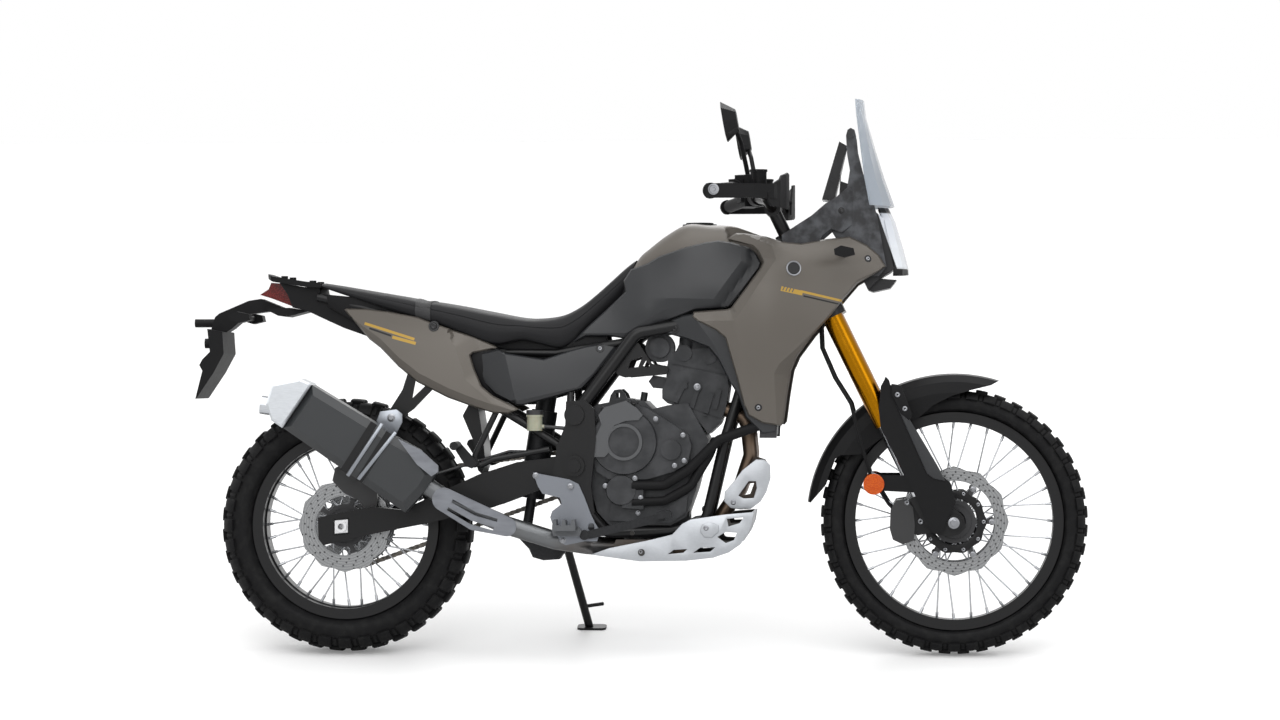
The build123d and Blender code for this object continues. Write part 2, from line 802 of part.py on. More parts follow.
with BuildPart() as main_frame:
    with BuildSketch(head.offset(head_tube[0])):
        Circle(38)
    extrude(amount=head_tube[1] - head_tube[0])
    for run in both_sides([
        (1212, 12, 985), (1100, 80, 925), (900, 116, 862), (770, 120, 838), (622, 126, 640),
    ]):
        bent_tube(run, spar_radius, 45)
    for run in both_sides([
        (1228, 12, 935), (1060, 72, 752), (1000, 88, 560), (950, 95, 345), (860, 95, 322), (690, 100, 318),
        (625, 128, 400),
    ]):
        bent_tube(run, cradle_radius, 40)
    for x, z in ((950, 380), (700, 318), (1060, 752)):
        across = 92 if x != 1060 else 66
        rod((x, -across, z), (x, across, z), 10)
    both_plates(
        (
            (590, 660), (640, 664), (664, 640), (668, 560), (655, 440), (664, 372), (630, 352), (588, 372),
            (562, 420), (556, 470), (566, 540), (588, 600),
        ),
        plate_inner,
        plate_outer,
    )
    for x, z, r in ((612, 625, 26), (612, 493, 27)):
        for side in (-1, 1):
            rod((x, side * plate_inner, z), (x, side * (plate_outer + 9), z), r)
    # pivot shaft of the swingarm
    rod((pivot.X, -pivot_half, pivot.Z), (pivot.X, pivot_half, pivot.Z), axle_radius)
    for side in (-1, 1):
        rod((pivot.X, side * pivot_half, pivot.Z), (pivot.X, side * (pivot_half + 6), pivot.Z), 17)
        rod((pivot.X, side * 52, pivot.Z), (pivot.X, side * (arm_inner - 1), pivot.Z), 15)
    side_plate(((640, 360), (664, 330), (600, 282), (540, 276), (536, 318), (590, 330)), 92, 108)
    rod((620, 88, 318), (690, 100, 318), 10)
    # lug, bolt and bolt head that carry the side stand
    with BuildSketch(stand_eye.offset(-eye_half - 1)):
        Circle(16)
    extrude(amount=-14)
    rod((566, 100, 298), stand_pivot - stand_axis * 18, 9)
    with BuildSketch(stand_eye.offset(-eye_half - 1)):
        Circle(stand_bolt)
    extrude(amount=2 * eye_half + 2)
    with BuildSketch(stand_eye.offset(eye_half + 1)):
        RegularPolygon(9, 6)
    extrude(amount=6)
    # pierced plates that brace the spars over the engine
    both_plates(brace_edge, brace_side, brace_side + 5)
    both_plates(
        ((748, 746), (756, 766), (786, 776), (776, 750)), brace_side - 2, brace_side + 7, Mode.SUBTRACT,
    )
    both_plates(
        ((788, 753), (796, 766), (806, 754), (800, 747)), brace_side - 2, brace_side + 7, Mode.SUBTRACT,
    )
    for side in (-1, 1):
        rod((842, side * 78, 742), (842, side * (brace_side + 9), 742), 12)
    # hole for the steering stem
    with BuildSketch(head.offset(head_tube[0] - 40)):
        Circle(head_bore)
    extrude(amount=head_tube[1] - head_tube[0] + 80, mode=Mode.SUBTRACT)
keep("main_frame", main_frame.part)

rail_run = [
    (752, 100, 816), (560, 92, 786), (420, 90, 788), (300, 90, 822), (200, 88, 862), (100, 86, 892),
    (-70, 80, 934),
]
strut_run = [(578, 118, 540), (500, 114, 590), (400, 106, 650), (180, 90, 852)]
with BuildPart() as rear_subframe:
    for run in both_sides(rail_run):
        bent_tube(run, rail_radius, 60)
    for run in both_sides(strut_run):
        bent_tube(run, rail_radius, 60)
    for side in (-1, 1):
        rod((578, side * 118, 540), (578, side * plate_inner, 540), 15)
        rod((600, side * 92, 792), (600, side * 122, 655), 10)
    for x, z in ((420, 788), (100, 892), (-60, 932), (700, 808)):
        rod((x, -88, z), (x, 88, z), 9)
    add(main_frame.part, mode=Mode.SUBTRACT)


# ================================================================ engine
crank_half = 100
gearbox_axis = Vector(690, 0, 500)
front_sprocket_teeth = 16

case_edge = (
    (650, 640),
    (668, 652),
    (745, 668),
    (792, 660),
    (812, 640),
    (850, 650),
    (905, 655),
    (958, 560),
    (925, 430),
    (900, 360),
    (860, 338),
    (700, 338),
    (668, 372),
    (650, 440),
)
with BuildPart() as crankcase:
    side_plate(case_edge, -crank_half, crank_half)
    # lifting eyes, breather and the boss of the gear shaft
    for side in (-1, 1):
        side_plate(
            ((694, 650), (700, 676), (710, 690), (726, 692), (738, 680), (746, 660)), side * 66, side * 54,
        )
        side_plate(((712, 670), (712, 682), (724, 682), (724, 670)), side * 70, side * 50, Mode.SUBTRACT)
    rod((782, -40, 650), (788, -40, 684), 9)
    rod((660, -60, 618), (660, -104, 618), 12)
    # oil pan
    side_plate(((720, 342), (735, 302), (880, 302), (905, 342), (905, 370), (720, 370)), -55, 55)
    # room for the pivot, the cradle and the front sprocket
    side_plate(((600, 560), (645, 560), (645, 420), (600, 420)), -150, 150, Mode.SUBTRACT)
    side_plate(((600, 575), (748, 575), (748, 425), (600, 425)), crank_half - 32, 150, Mode.SUBTRACT)
    add(main_frame.part, mode=Mode.SUBTRACT)
keep("crankcase", crankcase.part)

head_edge = (
    (850, 655),
    (836, 668),
    (836, 690),
    (846, 712),
    (848, 742),
    (852, 772),
    (872, 792),
    (950, 800),
    (985, 782),
    (1003, 745),
    (1010, 700),
    (1002, 640),
    (985, 600),
    (958, 575),
    (905, 640),
)
cam_edge = ((870, 786), (878, 806), (900, 836), (948, 834), (978, 808), (990, 775), (940, 770))
head_half = 82
cam_half = 72
with BuildPart() as cylinder_head:
    side_plate(head_edge, -head_half, head_half)
    # cam cover over it, with the round ends of its two shafts
    side_plate(cam_edge, -cam_half, cam_half)
    for x, z in ((893, 786), (958, 778)):
        rod((x, -88, z), (x, 88, z), 21)
    # ribs and bolt bosses down the side
    for side in (-1, 1):
        for (x0, z0), (x1, z1) in (
            ((898, 712), (868, 652)), ((928, 690), (910, 632)), ((966, 680), (948, 622)),
            ((986, 690), (974, 640)),
        ):
            side_plate(((x0 - 6, z0), (x0 + 6, z0), (x1 + 6, z1), (x1 - 6, z1)), side * 80, side * 89)
        rod((928, side * 80, 697), (928, side * 92, 697), 11)
        rod((896, side * 80, 700), (896, side * 90, 700), 7)
        rod((962, side * 80, 674), (962, side * 90, 674), 7)
    # thermostat behind it
    side_plate(((800, 712), (812, 728), (850, 722), (850, 692), (812, 695)), -74, -30)
    # joint line between block and head
    for near, far in ((-90, -79), (79, 90)):
        side_plate(((838, 665), (838, 669), (1010, 609), (1010, 605)), near, far, Mode.SUBTRACT)
        side_plate(((845, 758), (845, 762), (1010, 730), (1010, 726)), near, far, Mode.SUBTRACT)
    add(main_frame.part, mode=Mode.SUBTRACT)
    add(crankcase.part, mode=Mode.SUBTRACT)

clutch_centre = (740, 555)
clutch_edge = (
    (655, 522),
    (662, 580),
    (680, 636),
    (745, 664),
    (800, 642),
    (850, 612),
    (905, 576),
    (915, 545),
    (905, 500),
    (868, 478),
    (800, 458),
    (700, 458),
    (668, 478),
)
clutch_band = (
    (655, 516),
    (663, 560),
    (682, 600),
    (674, 625),
    (690, 645),
    (745, 662),
    (775, 642),
    (790, 625),
    (778, 612),
    (745, 610),
    (715, 598),
    (700, 570),
    (698, 545),
    (703, 530),
    (690, 516),
)
clutch_bolts = (
    (662, 520), (688, 640), (765, 658), (823, 612), (892, 571), (898, 505), (872, 492), (768, 460),
    (690, 442),
)
clutch_cover_depth = 22
clutch_dome_radius = 86
clutch_dome_depth = 14
clutch_ring_radius = 48
clutch_ring_wall = 8
clutch_band_depth = 42
pump_centre = (732, 430)
pump_radius = 42
pump_depth = 30
generator_centre = (850, 520)
generator_radius = 84
generator_depth = 30
generator_boss_radius = 66
generator_boss_depth = 14
with BuildPart() as engine_covers:
    # clutch cover on the right: the wide cover, its dome, and the band bolted round that
    side_plate(clutch_edge, -crank_half, -crank_half - clutch_cover_depth)
    with BuildSketch(right.offset(crank_half + clutch_cover_depth)):
        with Locations(clutch_centre):
            Circle(clutch_dome_radius)
    extrude(amount=clutch_dome_depth, taper=12)
    with BuildSketch(right.offset(crank_half + clutch_cover_depth + clutch_dome_depth)):
        with Locations(clutch_centre):
            Circle(clutch_ring_radius)
            Circle(clutch_ring_radius - clutch_ring_wall, mode=Mode.SUBTRACT)
    extrude(amount=5)
    side_plate(clutch_band, -crank_half, -crank_half - clutch_band_depth)
    with BuildSketch(right.offset(crank_half + clutch_cover_depth)):
        with Locations((862, 535)):
            Circle(26)
    extrude(amount=9)
    # bolt bosses round the covers
    for x, z in clutch_bolts:
        rod((x, -crank_half, z), (x, -crank_half - clutch_cover_depth - 4, z), 8)
    # water pump and its outlet
    with BuildSketch(right.offset(crank_half)):
        with Locations(pump_centre):
            Circle(pump_radius)
    extrude(amount=pump_depth, taper=8)
    side_plate(((735, 452), (790, 448), (790, 380), (735, 384)), -crank_half, -crank_half - 26)
    # sump cover below
    side_plate(
        ((705, 395), (700, 350), (860, 345), (900, 372), (905, 420), (870, 400)), -crank_half,
        -crank_half - 10,
    )
    # generator cover on the left
    with BuildSketch(right.offset(-crank_half)):
        with Locations(generator_centre):
            Circle(generator_radius)
    extrude(amount=-generator_depth)
    with BuildSketch(right.offset(-crank_half - generator_depth)):
        with Locations(generator_centre):
            Circle(generator_boss_radius)
    extrude(amount=-generator_boss_depth)
    # sprocket cover
    side_plate(
        ((668, 560), (740, 575), (766, 540), (766, 440), (700, 425), (668, 440)), crank_half, crank_half + 8,
    )
    add(main_frame.part, mode=Mode.SUBTRACT)
    add(crankcase.part, mode=Mode.SUBTRACT)

with BuildPart() as front_sprocket:
    sprocket_radius = chain_pitch / (2 * math.sin(math.pi / front_sprocket_teeth))
    with BuildSketch(right.offset(-sprocket_side)):
        with Locations((gearbox_axis.X, gearbox_axis.Z)):
            Circle(sprocket_radius - 5)
            with PolarLocations(sprocket_radius - 5, front_sprocket_teeth):
                Trapezoid(9, 10, 75, rotation=-90)
    extrude(amount=2.5, both=True)
    rod(
        (gearbox_axis.X, crank_half - 32, gearbox_axis.Z), (gearbox_axis.X, crank_half - 2, gearbox_axis.Z),
        15,
    )
    add(engine_covers.part, mode=Mode.SUBTRACT)
    add(crankcase.part, mode=Mode.SUBTRACT)
with BuildPart() as covers_and_sprocket:
    add([engine_covers.part, front_sprocket.part])
keep("engine_covers", covers_and_sprocket.part)

radiator_edge = ((1098, 572), (1132, 572), (1142, 792), (1108, 792))
radiator_half = 128
radiator_tank_width = 16
with BuildPart() as radiator:
    side_plate(radiator_edge, -radiator_half, radiator_half)
    end_edge = ((1092, 566), (1136, 566), (1146, 798), (1102, 798))
    both_plates(end_edge, radiator_half, radiator_half + radiator_tank_width)
    # fan shroud behind
    rod((1104, 0, 712), (1082, 0, 712), 50)
    for side in (-1, 1):
        rod((1106, side * 95, 768), (1075, side * 74, 768), 7)
    add(main_frame.part, mode=Mode.SUBTRACT)
    add(cylinder_head.part, mode=Mode.SUBTRACT)
keep("radiator", radiator.part)

with BuildPart() as coolant_hoses:
    bent_tube(
        [(760, -120, 442), (842, -122, 442), (905, -126, 480), (985, -126, 560), (1095, -132, 600)], 13, 30,
    )
    bent_tube(
        [(760, -118, 398), (845, -120, 402), (912, -120, 440), (960, -112, 520), (975, -84, 560)], 12, 28,
    )
    bent_tube([(1110, 118, 780), (1060, 108, 800), (985, 70, 790)], 14, 20)
    add(radiator.part, mode=Mode.SUBTRACT)
    add(engine_covers.part, mode=Mode.SUBTRACT)
    add(cylinder_head.part, mode=Mode.SUBTRACT)
    add(crankcase.part, mode=Mode.SUBTRACT)
    add(main_frame.part, mode=Mode.SUBTRACT)
keep("coolant_hoses", coolant_hoses.part)

with BuildPart() as airbox:
    side_plate(((800, 868), (800, 905), (1040, 905), (1060, 868), (960, 856), (860, 858)), -60, 60)
    for across in (-55, 0, 55):
        rod((905, across, 870), (900, across, 800), 22)
    # round cover of the throttles on its neck
    rod((830, -50, 790), (830, -50, 880), 17)
    rod((830, -24, 800), (830, -80, 800), 38)
    rod((830, -80, 800), (830, -90, 800), 26)
    add(cylinder_head.part, mode=Mode.SUBTRACT)
    add(main_frame.part, mode=Mode.SUBTRACT)
with BuildPart() as head_and_intake:
    add([cylinder_head.part, airbox.part])
keep("cylinder_head", head_and_intake.part)


# ================================================================ exhaust
header_radius = 19
link_radius = 24
with BuildPart() as exhaust_pipes:
    for across, reach in ((-56, 0), (0, 0), (56, 0)):
        bent_tube(
            [
                (1000, across, 640), (1056, across, 615), (1066, across, 520), (1036, across * 0.9, 430),
                (975, across * 0.75, 340), (900, across * 0.6, 285),
            ],
            header_radius,
            38,
        )
        rod((1010, across, 636), (1026, across, 629), 26)
    # collector box under the engine
    side_plate(((915, 300), (905, 264), (720, 262), (705, 278), (715, 299)), -72, 72)
    bent_tube(
        [
            (730, -40, 280), (640, -70, 284), (560, -138, 300), (440, -158, 338), (280, -180, 408),
            (190, -190, 470),
        ],
        link_radius,
        45,
    )
    add(crankcase.part, mode=Mode.SUBTRACT)
    add(cylinder_head.part, mode=Mode.SUBTRACT)
    add(main_frame.part, mode=Mode.SUBTRACT)
keep("exhaust_pipes", exhaust_pipes.part)

silencer_near = 140
silencer_far = 242
silencer_edge = (
    (-62, 703), (100, 605), (150, 571), (215, 535), (258, 472), (232, 430), (180, 374), (-138, 592),
)
with BuildPart() as silencer:
    side_plate(silencer_edge, -silencer_near, -silencer_far)
    chamfer(silencer.edges().filter_by(Axis.Y, reverse=True).filter_by(GeomType.LINE), 20)
    add(exhaust_pipes.part, mode=Mode.SUBTRACT)
keep("silencer", silencer.part)

cap_edge = ((-62, 703), (-66, 708), (-90, 718), (-165, 703), (-180, 655), (-166, 611), (-138, 592))
with BuildPart() as silencer_cap:
    side_plate(cap_edge, -silencer_near - 2, -silencer_far + 2)
    chamfer(silencer_cap.edges().filter_by(Axis.Y, reverse=True).filter_by(GeomType.LINE), 5)
    # outlet
    rod((-200, -192, 652), (-120, -192, 640), 24)
    with Locations(Plane(origin=(-202, -192, 652.3), z_dir=(80, 0, -12)).location):
        Cylinder(20, 60, align=(Align.CENTER, Align.CENTER, Align.MIN), mode=Mode.SUBTRACT)
    add(silencer.part, mode=Mode.SUBTRACT)
keep("silencer_cap", silencer_cap.part)

shield_edge = ((165, 565), (200, 518), (215, 498), (252, 468), (270, 480), (270, 495), (225, 536))
with BuildPart() as exhaust_shields:
    side_plate(shield_edge, -silencer_far - 4, -silencer_far - 8)
    rod((210, -silencer_far + 2, 525), (210, -silencer_far - 5, 525), 6)
    # long shield over the link pipe
    with BuildSketch(right.offset(212)):
        with Locations((280, 408)):
            Circle(30)
        with Locations((360, 356)):
            Circle(28)
        with Locations((443, 338)):
            Circle(25)
        make_hull()
        for slot in (
            ((304, 408), (364, 375), (420, 358), (418, 350), (361, 366), (300, 400)),
            ((292, 388), (352, 353), (410, 336), (408, 328), (349, 344), (288, 380)),
        ):
            with BuildLine() as gap:
                Polyline(*slot, close=True)
            make_face(gap.edges(), mode=Mode.SUBTRACT)
    extrude(amount=6)
    for x, z in ((285, 405), (440, 339)):
        rod((x, -170, z), (x, -214, z), 6)
    # shield over the headers
    with BuildSketch(right.offset(84)):
        outline(
            (1000, 410), (1010, 395), (1030, 384), (1060, 380), (1080, 390), (1100, 420), (1117, 460),
            (1118, 490), (1105, 510), (1080, 518), (1070, 505), (1040, 450), (1005, 420),
        )
        with BuildLine() as gap:
            Polyline((1043, 415), (1066, 420), (1076, 448), (1062, 446), close=True)
        make_face(gap.edges(), mode=Mode.SUBTRACT)
    extrude(amount=5)
    rod((1050, -60, 452), (1050, -86, 452), 5)
    add(exhaust_pipes.part, mode=Mode.SUBTRACT)
    add(silencer.part, mode=Mode.SUBTRACT)
keep("exhaust_shields", exhaust_shields.part)

with BuildPart() as silencer_mounts:
    for upper, lower in (((95, 600), (15, 485)), ((135, 575), (55, 460))):
        x0, z0 = upper
        x1, z1 = lower
        side_plate(
            ((x0, z0 + 10), (x0 + 16, z0), (x1 + 16, z1 - 10), (x1, z1)), -silencer_far - 3, -silencer_far,
        )
    # hanger from the subframe
    both = (
        (128, 640), (150, 612), (190, 640), (248, 700), (232, 712), (186, 668), (200, 745), (180, 752),
        (160, 690),
    )
    side_plate(both, -118, -126)
    rod((140, -126, 628), (140, -silencer_near + 1, 628), 12)
    rod((190, -88, 746), (190, -120, 744), 9)
    rod((240, -88, 700), (240, -120, 702), 8)
    rod((240, -90, 802), (240, -90, 698), 8)
    side_plate(((120, 645), (155, 622), (140, 590), (100, 612)), -silencer_near - 20, -silencer_near - 26)
    add(silencer.part, mode=Mode.SUBTRACT)
    add(rear_subframe.part, mode=Mode.SUBTRACT)
with BuildPart() as subframe:
    add([rear_subframe.part, silencer_mounts.part])
keep("rear_subframe", subframe.part)

plate_edge = (
    (655, 262),
    (700, 277),
    (800, 297),
    (865, 313),
    (890, 340),
    (910, 352),
    (1000, 365),
    (1075, 373),
    (1070, 345),
    (1060, 320),
    (1040, 290),
    (1010, 270),
    (970, 256),
    (900, 248),
    (780, 246),
)
skid_wall = 4
skid_half = 122
with BuildPart() as skid_plate:
    side_plate(plate_edge, -skid_half, skid_half)
    inner = [(x - 4, z + skid_wall) if x > 940 else (x, z + skid_wall + 2) for x, z in plate_edge[7:]]
    side_plate([(600, 300), (640, 420), (1060, 420)] + inner + [(600, 268)], -116, 116, Mode.SUBTRACT)
    for hole in (
        ((985, 323), (1035, 323), (1025, 298), (990, 300)),
        ((860, 278), (902, 280), (905, 266), (868, 265)),
        ((925, 283), (972, 284), (975, 270), (932, 268)),
        ((1012, 358), (1050, 360), (1046, 346), (1016, 345)),
    ):
        side_plate(hole, -130, 130, Mode.SUBTRACT)
    for x, z in ((957, 333), (785, 268)):
        for side in (-1, 1):
            rod((x, side * 121, z), (x, side * 127, z), 9)
    for x in (760, 880):
        rod((x, -116, 318), (x, 116, 318), 6)
    add(exhaust_pipes.part, mode=Mode.SUBTRACT)
    add(main_frame.part, mode=Mode.SUBTRACT)
    add(crankcase.part, mode=Mode.SUBTRACT)
keep("skid_plate", skid_plate.part)


# ================================================================ swingarm, shock and chain
arm_edge = (
    (-62, 356),
    (-30, 364),
    (80, 385),
    (160, 377),
    (360, 470),
    (460, 502),
    (540, 512),
    (612, 522),
    (640, 505),
    (640, 478),
    (612, 464),
    (520, 430),
    (400, 385),
    (230, 343),
    (100, 318),
    (-48, 284),
    (-60, 300),
)
axle_half = 136
with BuildPart() as swingarm:
    both_plates(arm_edge, arm_inner, arm_outer)
    # casting that joins the arms ahead of the wheel
    side_plate(
        ((352, 462), (400, 480), (470, 480), (520, 470), (530, 440), (420, 398), (362, 385)), -50, arm_inner,
    )
    side_plate(
        ((352, 462), (400, 480), (470, 480), (520, 470), (530, 440), (420, 398), (362, 385)), -arm_inner, -50,
    )
    # room for the two runs of the chain beside the casting
    side_plate(((340, 560), (660, 560), (660, 482), (340, 462)), 74, arm_inner, Mode.SUBTRACT)
    side_plate(((340, 330), (660, 330), (660, 462), (340, 400)), 74, arm_inner, Mode.SUBTRACT)
    rod((pivot.X, -50, pivot.Z), (pivot.X, 50, pivot.Z), 21)
    side_plate(((500, 470), (612, 512), (612, 474), (520, 440)), -50, 50)
    with BuildSketch(right.offset(-200)):
        with Locations((pivot.X, pivot.Z), (0, rear_tyre_radius)):
            Circle(axle_radius)
    extrude(amount=400, mode=Mode.SUBTRACT)
    # windows for the chain adjusters
    for side in (-1, 1):
        side_plate(
            ((-20, 352), (20, 356), (20, 314), (-20, 310)), side * arm_outer, side * (arm_outer - 6),
            Mode.SUBTRACT,
        )
    add(crankcase.part, mode=Mode.SUBTRACT)

with BuildPart() as rear_axle_bar:
    rod(rear_axle - Vector(0, axle_half, 0), rear_axle + Vector(0, axle_half, 0), axle_radius)
    for side in (-1, 1):
        rod(rear_axle + Vector(0, side * 49, 0), rear_axle + Vector(0, side * arm_inner, 0), 19)
        side_plate(
            ((-17, 349), (17, 352), (17, 318), (-17, 315)), side * (arm_outer - 6), side * (arm_outer + 2),
        )
        rod(
            rear_axle + Vector(0, side * (arm_outer + 2), 0),
            rear_axle + Vector(0, side * (axle_half + 2), 0), 15,
        )
    with BuildSketch(right.offset(axle_half + 2)):
        with Locations((0, rear_tyre_radius)):
            Circle(8)
    extrude(amount=-40, mode=Mode.SUBTRACT)
keep("rear_axle", rear_axle_bar.part)

with BuildPart() as rear_shock:
    rod((470, 0, 300), (540, 0, 760), 13)
    rod((486, 0, 405), (521, 0, 635), 34)
    rod((519, 0, 622), (528, 0, 681), 26)
    # linkage rocker and pull rods under the arm
    side_plate(
        (
            (455, 300), (482, 272), (492, 250), (520, 242), (562, 245), (578, 270), (545, 294), (500, 312),
            (470, 318),
        ),
        -30, 30,
    )
    both_plates(((560, 250), (578, 262), (618, 372), (600, 380)), 30, 38)
    rod((612, -100, 372), (612, 100, 372), 9)
    rod((540, -95, 757), (540, 95, 757), 12)
    add(swingarm.part, mode=Mode.SUBTRACT)
    add(main_frame.part, mode=Mode.SUBTRACT)
    add(rear_subframe.part, mode=Mode.SUBTRACT)
    add(exhaust_pipes.part, mode=Mode.SUBTRACT)
keep("rear_shock", rear_shock.part)

rear_caliper_edge = ((-30, 452), (-22, 486), (8, 500), (52, 492), (80, 462), (76, 420), (40, 400), (0, 420))
with BuildPart() as rear_caliper:
    side_plate(rear_caliper_edge, -44, -90)
    side_plate(((60, 372), (88, 375), (92, 448), (52, 460), (20, 440)), -82, -arm_inner)
    with Locations(Location(rear_axle - Vector(0, rear_disc_side, 0), (90, 0, 0))):
        Cylinder(rear_disc_radius + 6, disc_thickness + 2 * disc_clearance, mode=Mode.SUBTRACT)
    bent_tube([(60, -88, 470), (150, -112, 440), (330, -112, 496), (440, -112, 530), (530, -112, 528)], 4, 20)
    add(swingarm.part, mode=Mode.SUBTRACT)
    add(rear_subframe.part, mode=Mode.SUBTRACT)

chain_half = 8
roller_shares = (0.35, 0.65)
chain_depth = 15


def chain_loop(grow):
    """The outline of the chain's path, grown by a distance: two arcs and two straight runs."""
    with BuildSketch() as loop:
        RegularPolygon(sprocket_pitch_radius + grow, sprocket_teeth // 2)
        with Locations((gearbox_axis.X, gearbox_axis.Z - rear_tyre_radius)):
            RegularPolygon(sprocket_radius + grow, front_sprocket_teeth)
        make_hull()
    return loop.sketch


with BuildPart() as drive_chain:
    for side in (-1, 1):
        start = sprocket_side + side * 3.5
        with BuildSketch(Plane(origin=(0, start, rear_tyre_radius), x_dir=(1, 0, 0), z_dir=(0, -1, 0))):
            add(chain_loop(chain_depth / 2))
            add(chain_loop(-chain_depth / 2), mode=Mode.SUBTRACT)
        extrude(amount=-side * (chain_half - 3.5))
    # rollers across the two straight runs
    for share in roller_shares:
        for side in (-1, 1):
            tilt = math.asin((sprocket_pitch_radius - sprocket_radius) / (gearbox_axis - rear_axle).length)
            rise = math.atan2(gearbox_axis.Z - rear_axle.Z, gearbox_axis.X)
            way = rise - side * tilt
            out = Vector(-math.sin(way), 0, math.cos(way)) * side
            rear_point = rear_axle + out * sprocket_pitch_radius
            front_point = gearbox_axis + out * sprocket_radius
            spot = rear_point + (front_point - rear_point) * share
            with BuildSketch(Plane(
                origin=(spot.X, sprocket_side, spot.Z), x_dir=(1, 0, 0), z_dir=(0, -1, 0),
            )):
                RegularPolygon(5, 6)
            extrude(amount=4, both=True)
    add(engine_covers.part, mode=Mode.SUBTRACT)
keep("drive_chain", drive_chain.part)


# ================================================================ tank, seat and panels
tank_edge = (
    (742, 945),
    (735, 975),
    (770, 1035),
    (800, 1060),
    (850, 1098),
    (900, 1125),
    (960, 1122),
    (1025, 1118),
    (1060, 1106),
    (1120, 1084),
    (1128, 1040),
    (1110, 985),
    (1060, 925),
    (1030, 906),
    (800, 906),
    (790, 930),
)
cap_centre = (930, 1121)
yoke_sweep = 151  # clear of everything on the yokes behind the steering axis
yoke_room = (560, 885)  # along that axis
nose_tip = -44  # behind the steering axis
nose_spread = yoke_sweep * 2 * math.tan(math.radians(38))
with BuildPart() as fuel_tank:
    side_plate(tank_edge, -140, 140)
    # shoulders, as seen from the front
    with BuildSketch(Plane.YZ.offset(700)):
        outline(
            (-60, 1140), (-112, 1112), (-142, 1040), (-150, 980), (-70, 900), (70, 900), (150, 980),
            (142, 1040), (112, 1112), (60, 1140),
        )
    extrude(amount=460, mode=Mode.INTERSECT)
    # waist, as seen from above
    with BuildSketch(Plane.XY.offset(880)):
        outline(
            (700, 62), (760, 74), (820, 100), (900, 126), (1000, 138), (1080, 132), (1140, 108), (1140, -108),
            (1080, -132), (1000, -138), (900, -126), (820, -100), (760, -74), (700, -62),
        )
    extrude(amount=280, mode=Mode.INTERSECT)
    # tunnel over the frame
    side_plate(((700, 880), (700, 945), (1010, 945), (1200, 960), (1200, 880)), -62, 62, Mode.SUBTRACT)
    side_plate(((1040, 900), (1040, 1010), (1180, 1010), (1180, 900)), -62, 62, Mode.SUBTRACT)
    # room for the yokes and the fork tubes as they turn, with a nose left between them
    with BuildSketch(head.offset(yoke_room[0])):
        Circle(yoke_sweep)
        with BuildLine() as nose:
            Polyline(
                (nose_tip, 0),
                (nose_tip - yoke_sweep * 2, nose_spread),
                (nose_tip - yoke_sweep * 2, -nose_spread),
                close=True,
            )
        make_face(nose.edges(), mode=Mode.SUBTRACT)
    extrude(amount=yoke_room[1] - yoke_room[0], mode=Mode.SUBTRACT)
    add(main_frame.part, mode=Mode.SUBTRACT)
    with BuildSketch(Plane.XY.offset(1112)):
        with Locations((cap_centre[0], 0)):
            Circle(46)
    extrude(amount=40, mode=Mode.SUBTRACT)
keep("fuel_tank", fuel_tank.part)

with BuildPart() as fuel_cap:
    with BuildSketch(Plane.XY.offset(1112)):
        with Locations((cap_centre[0], 0)):
            Circle(45)
    extrude(amount=12)
    with BuildSketch(Plane.XY.offset(1124)):
        with Locations((cap_centre[0], 0)):
            Circle(36)
    extrude(amount=4)
keep("fuel_cap", fuel_cap.part)

seat_edge = (
    (-60, 972),
    (0, 962),
    (100, 945),
    (190, 930),
    (300, 912),
    (400, 893),
    (470, 880),
    (520, 878),
    (560, 882),
    (600, 895),
    (650, 930),
    (700, 975),
    (740, 1012),
    (765, 1030),
    (757, 1002),
    (735, 970),
    (741, 946),
    (690, 897),
    (640, 852),
    (590, 803),
    (560, 800),
    (520, 812),
    (480, 825),
    (430, 812),
    (400, 808),
    (350, 830),
    (300, 845),
    (200, 880),
    (100, 910),
    (0, 942),
    (-62, 963),
)
with BuildPart() as seat:
    side_plate(seat_edge, -160, 160)
    with BuildSketch(Plane.XY.offset(780)):
        outline(
            (-80, 92), (60, 112), (200, 124), (330, 130), (440, 132),
            (540, 118), (640, 96), (700, 80), (775, 58),
            (775, -58), (700, -80), (640, -96), (540, -118), (440, -132),
            (330, -130), (200, -124), (60, -112), (-80, -92),
        )
    extrude(amount=260, mode=Mode.INTERSECT)
    add(fuel_tank.part, mode=Mode.SUBTRACT)
    add(main_frame.part, mode=Mode.SUBTRACT)
    add(rear_subframe.part, mode=Mode.SUBTRACT)
keep("seat", seat.part)

cover_places = (585, 700, 800, 900, 1000, 1110)
cover_sections = (
    (790, stations(cover_places, (108, 116, 124, 132, 140, 146))),
    (850, stations(cover_places, (104, 116, 132, 144, 152, 152))),
    (895, stations(cover_places, (98, 112, 138, 153, 158, 158))),
    (950, stations(cover_places, (92, 104, 134, 154, 162, 160))),
    (1010, stations(cover_places, (84, 94, 122, 148, 156, 152))),
    (1050, stations(cover_places, (76, 88, 112, 142, 150, 144))),
    (1080, stations(cover_places, (72, 84, 106, 134, 144, 138))),
)
cover_edge = (
    (742, 945),
    (735, 975),
    (756, 1006),
    (800, 1020),
    (830, 1038),
    (900, 1062),
    (950, 1074),
    (985, 1078),
    (1020, 1074),
    (1070, 1060),
    (1085, 1045),
    (1100, 1020),
    (1095, 1005),
    (1050, 945),
    (1015, 902),
    (1000, 899),
    (925, 895),
    (900, 885),
    (860, 870),
    (800, 845),
    (745, 820),
    (700, 828),
    (640, 828),
    (592, 804),
    (640, 853),
    (690, 898),
)
tank_covers = panel(cover_sections, cover_edge)
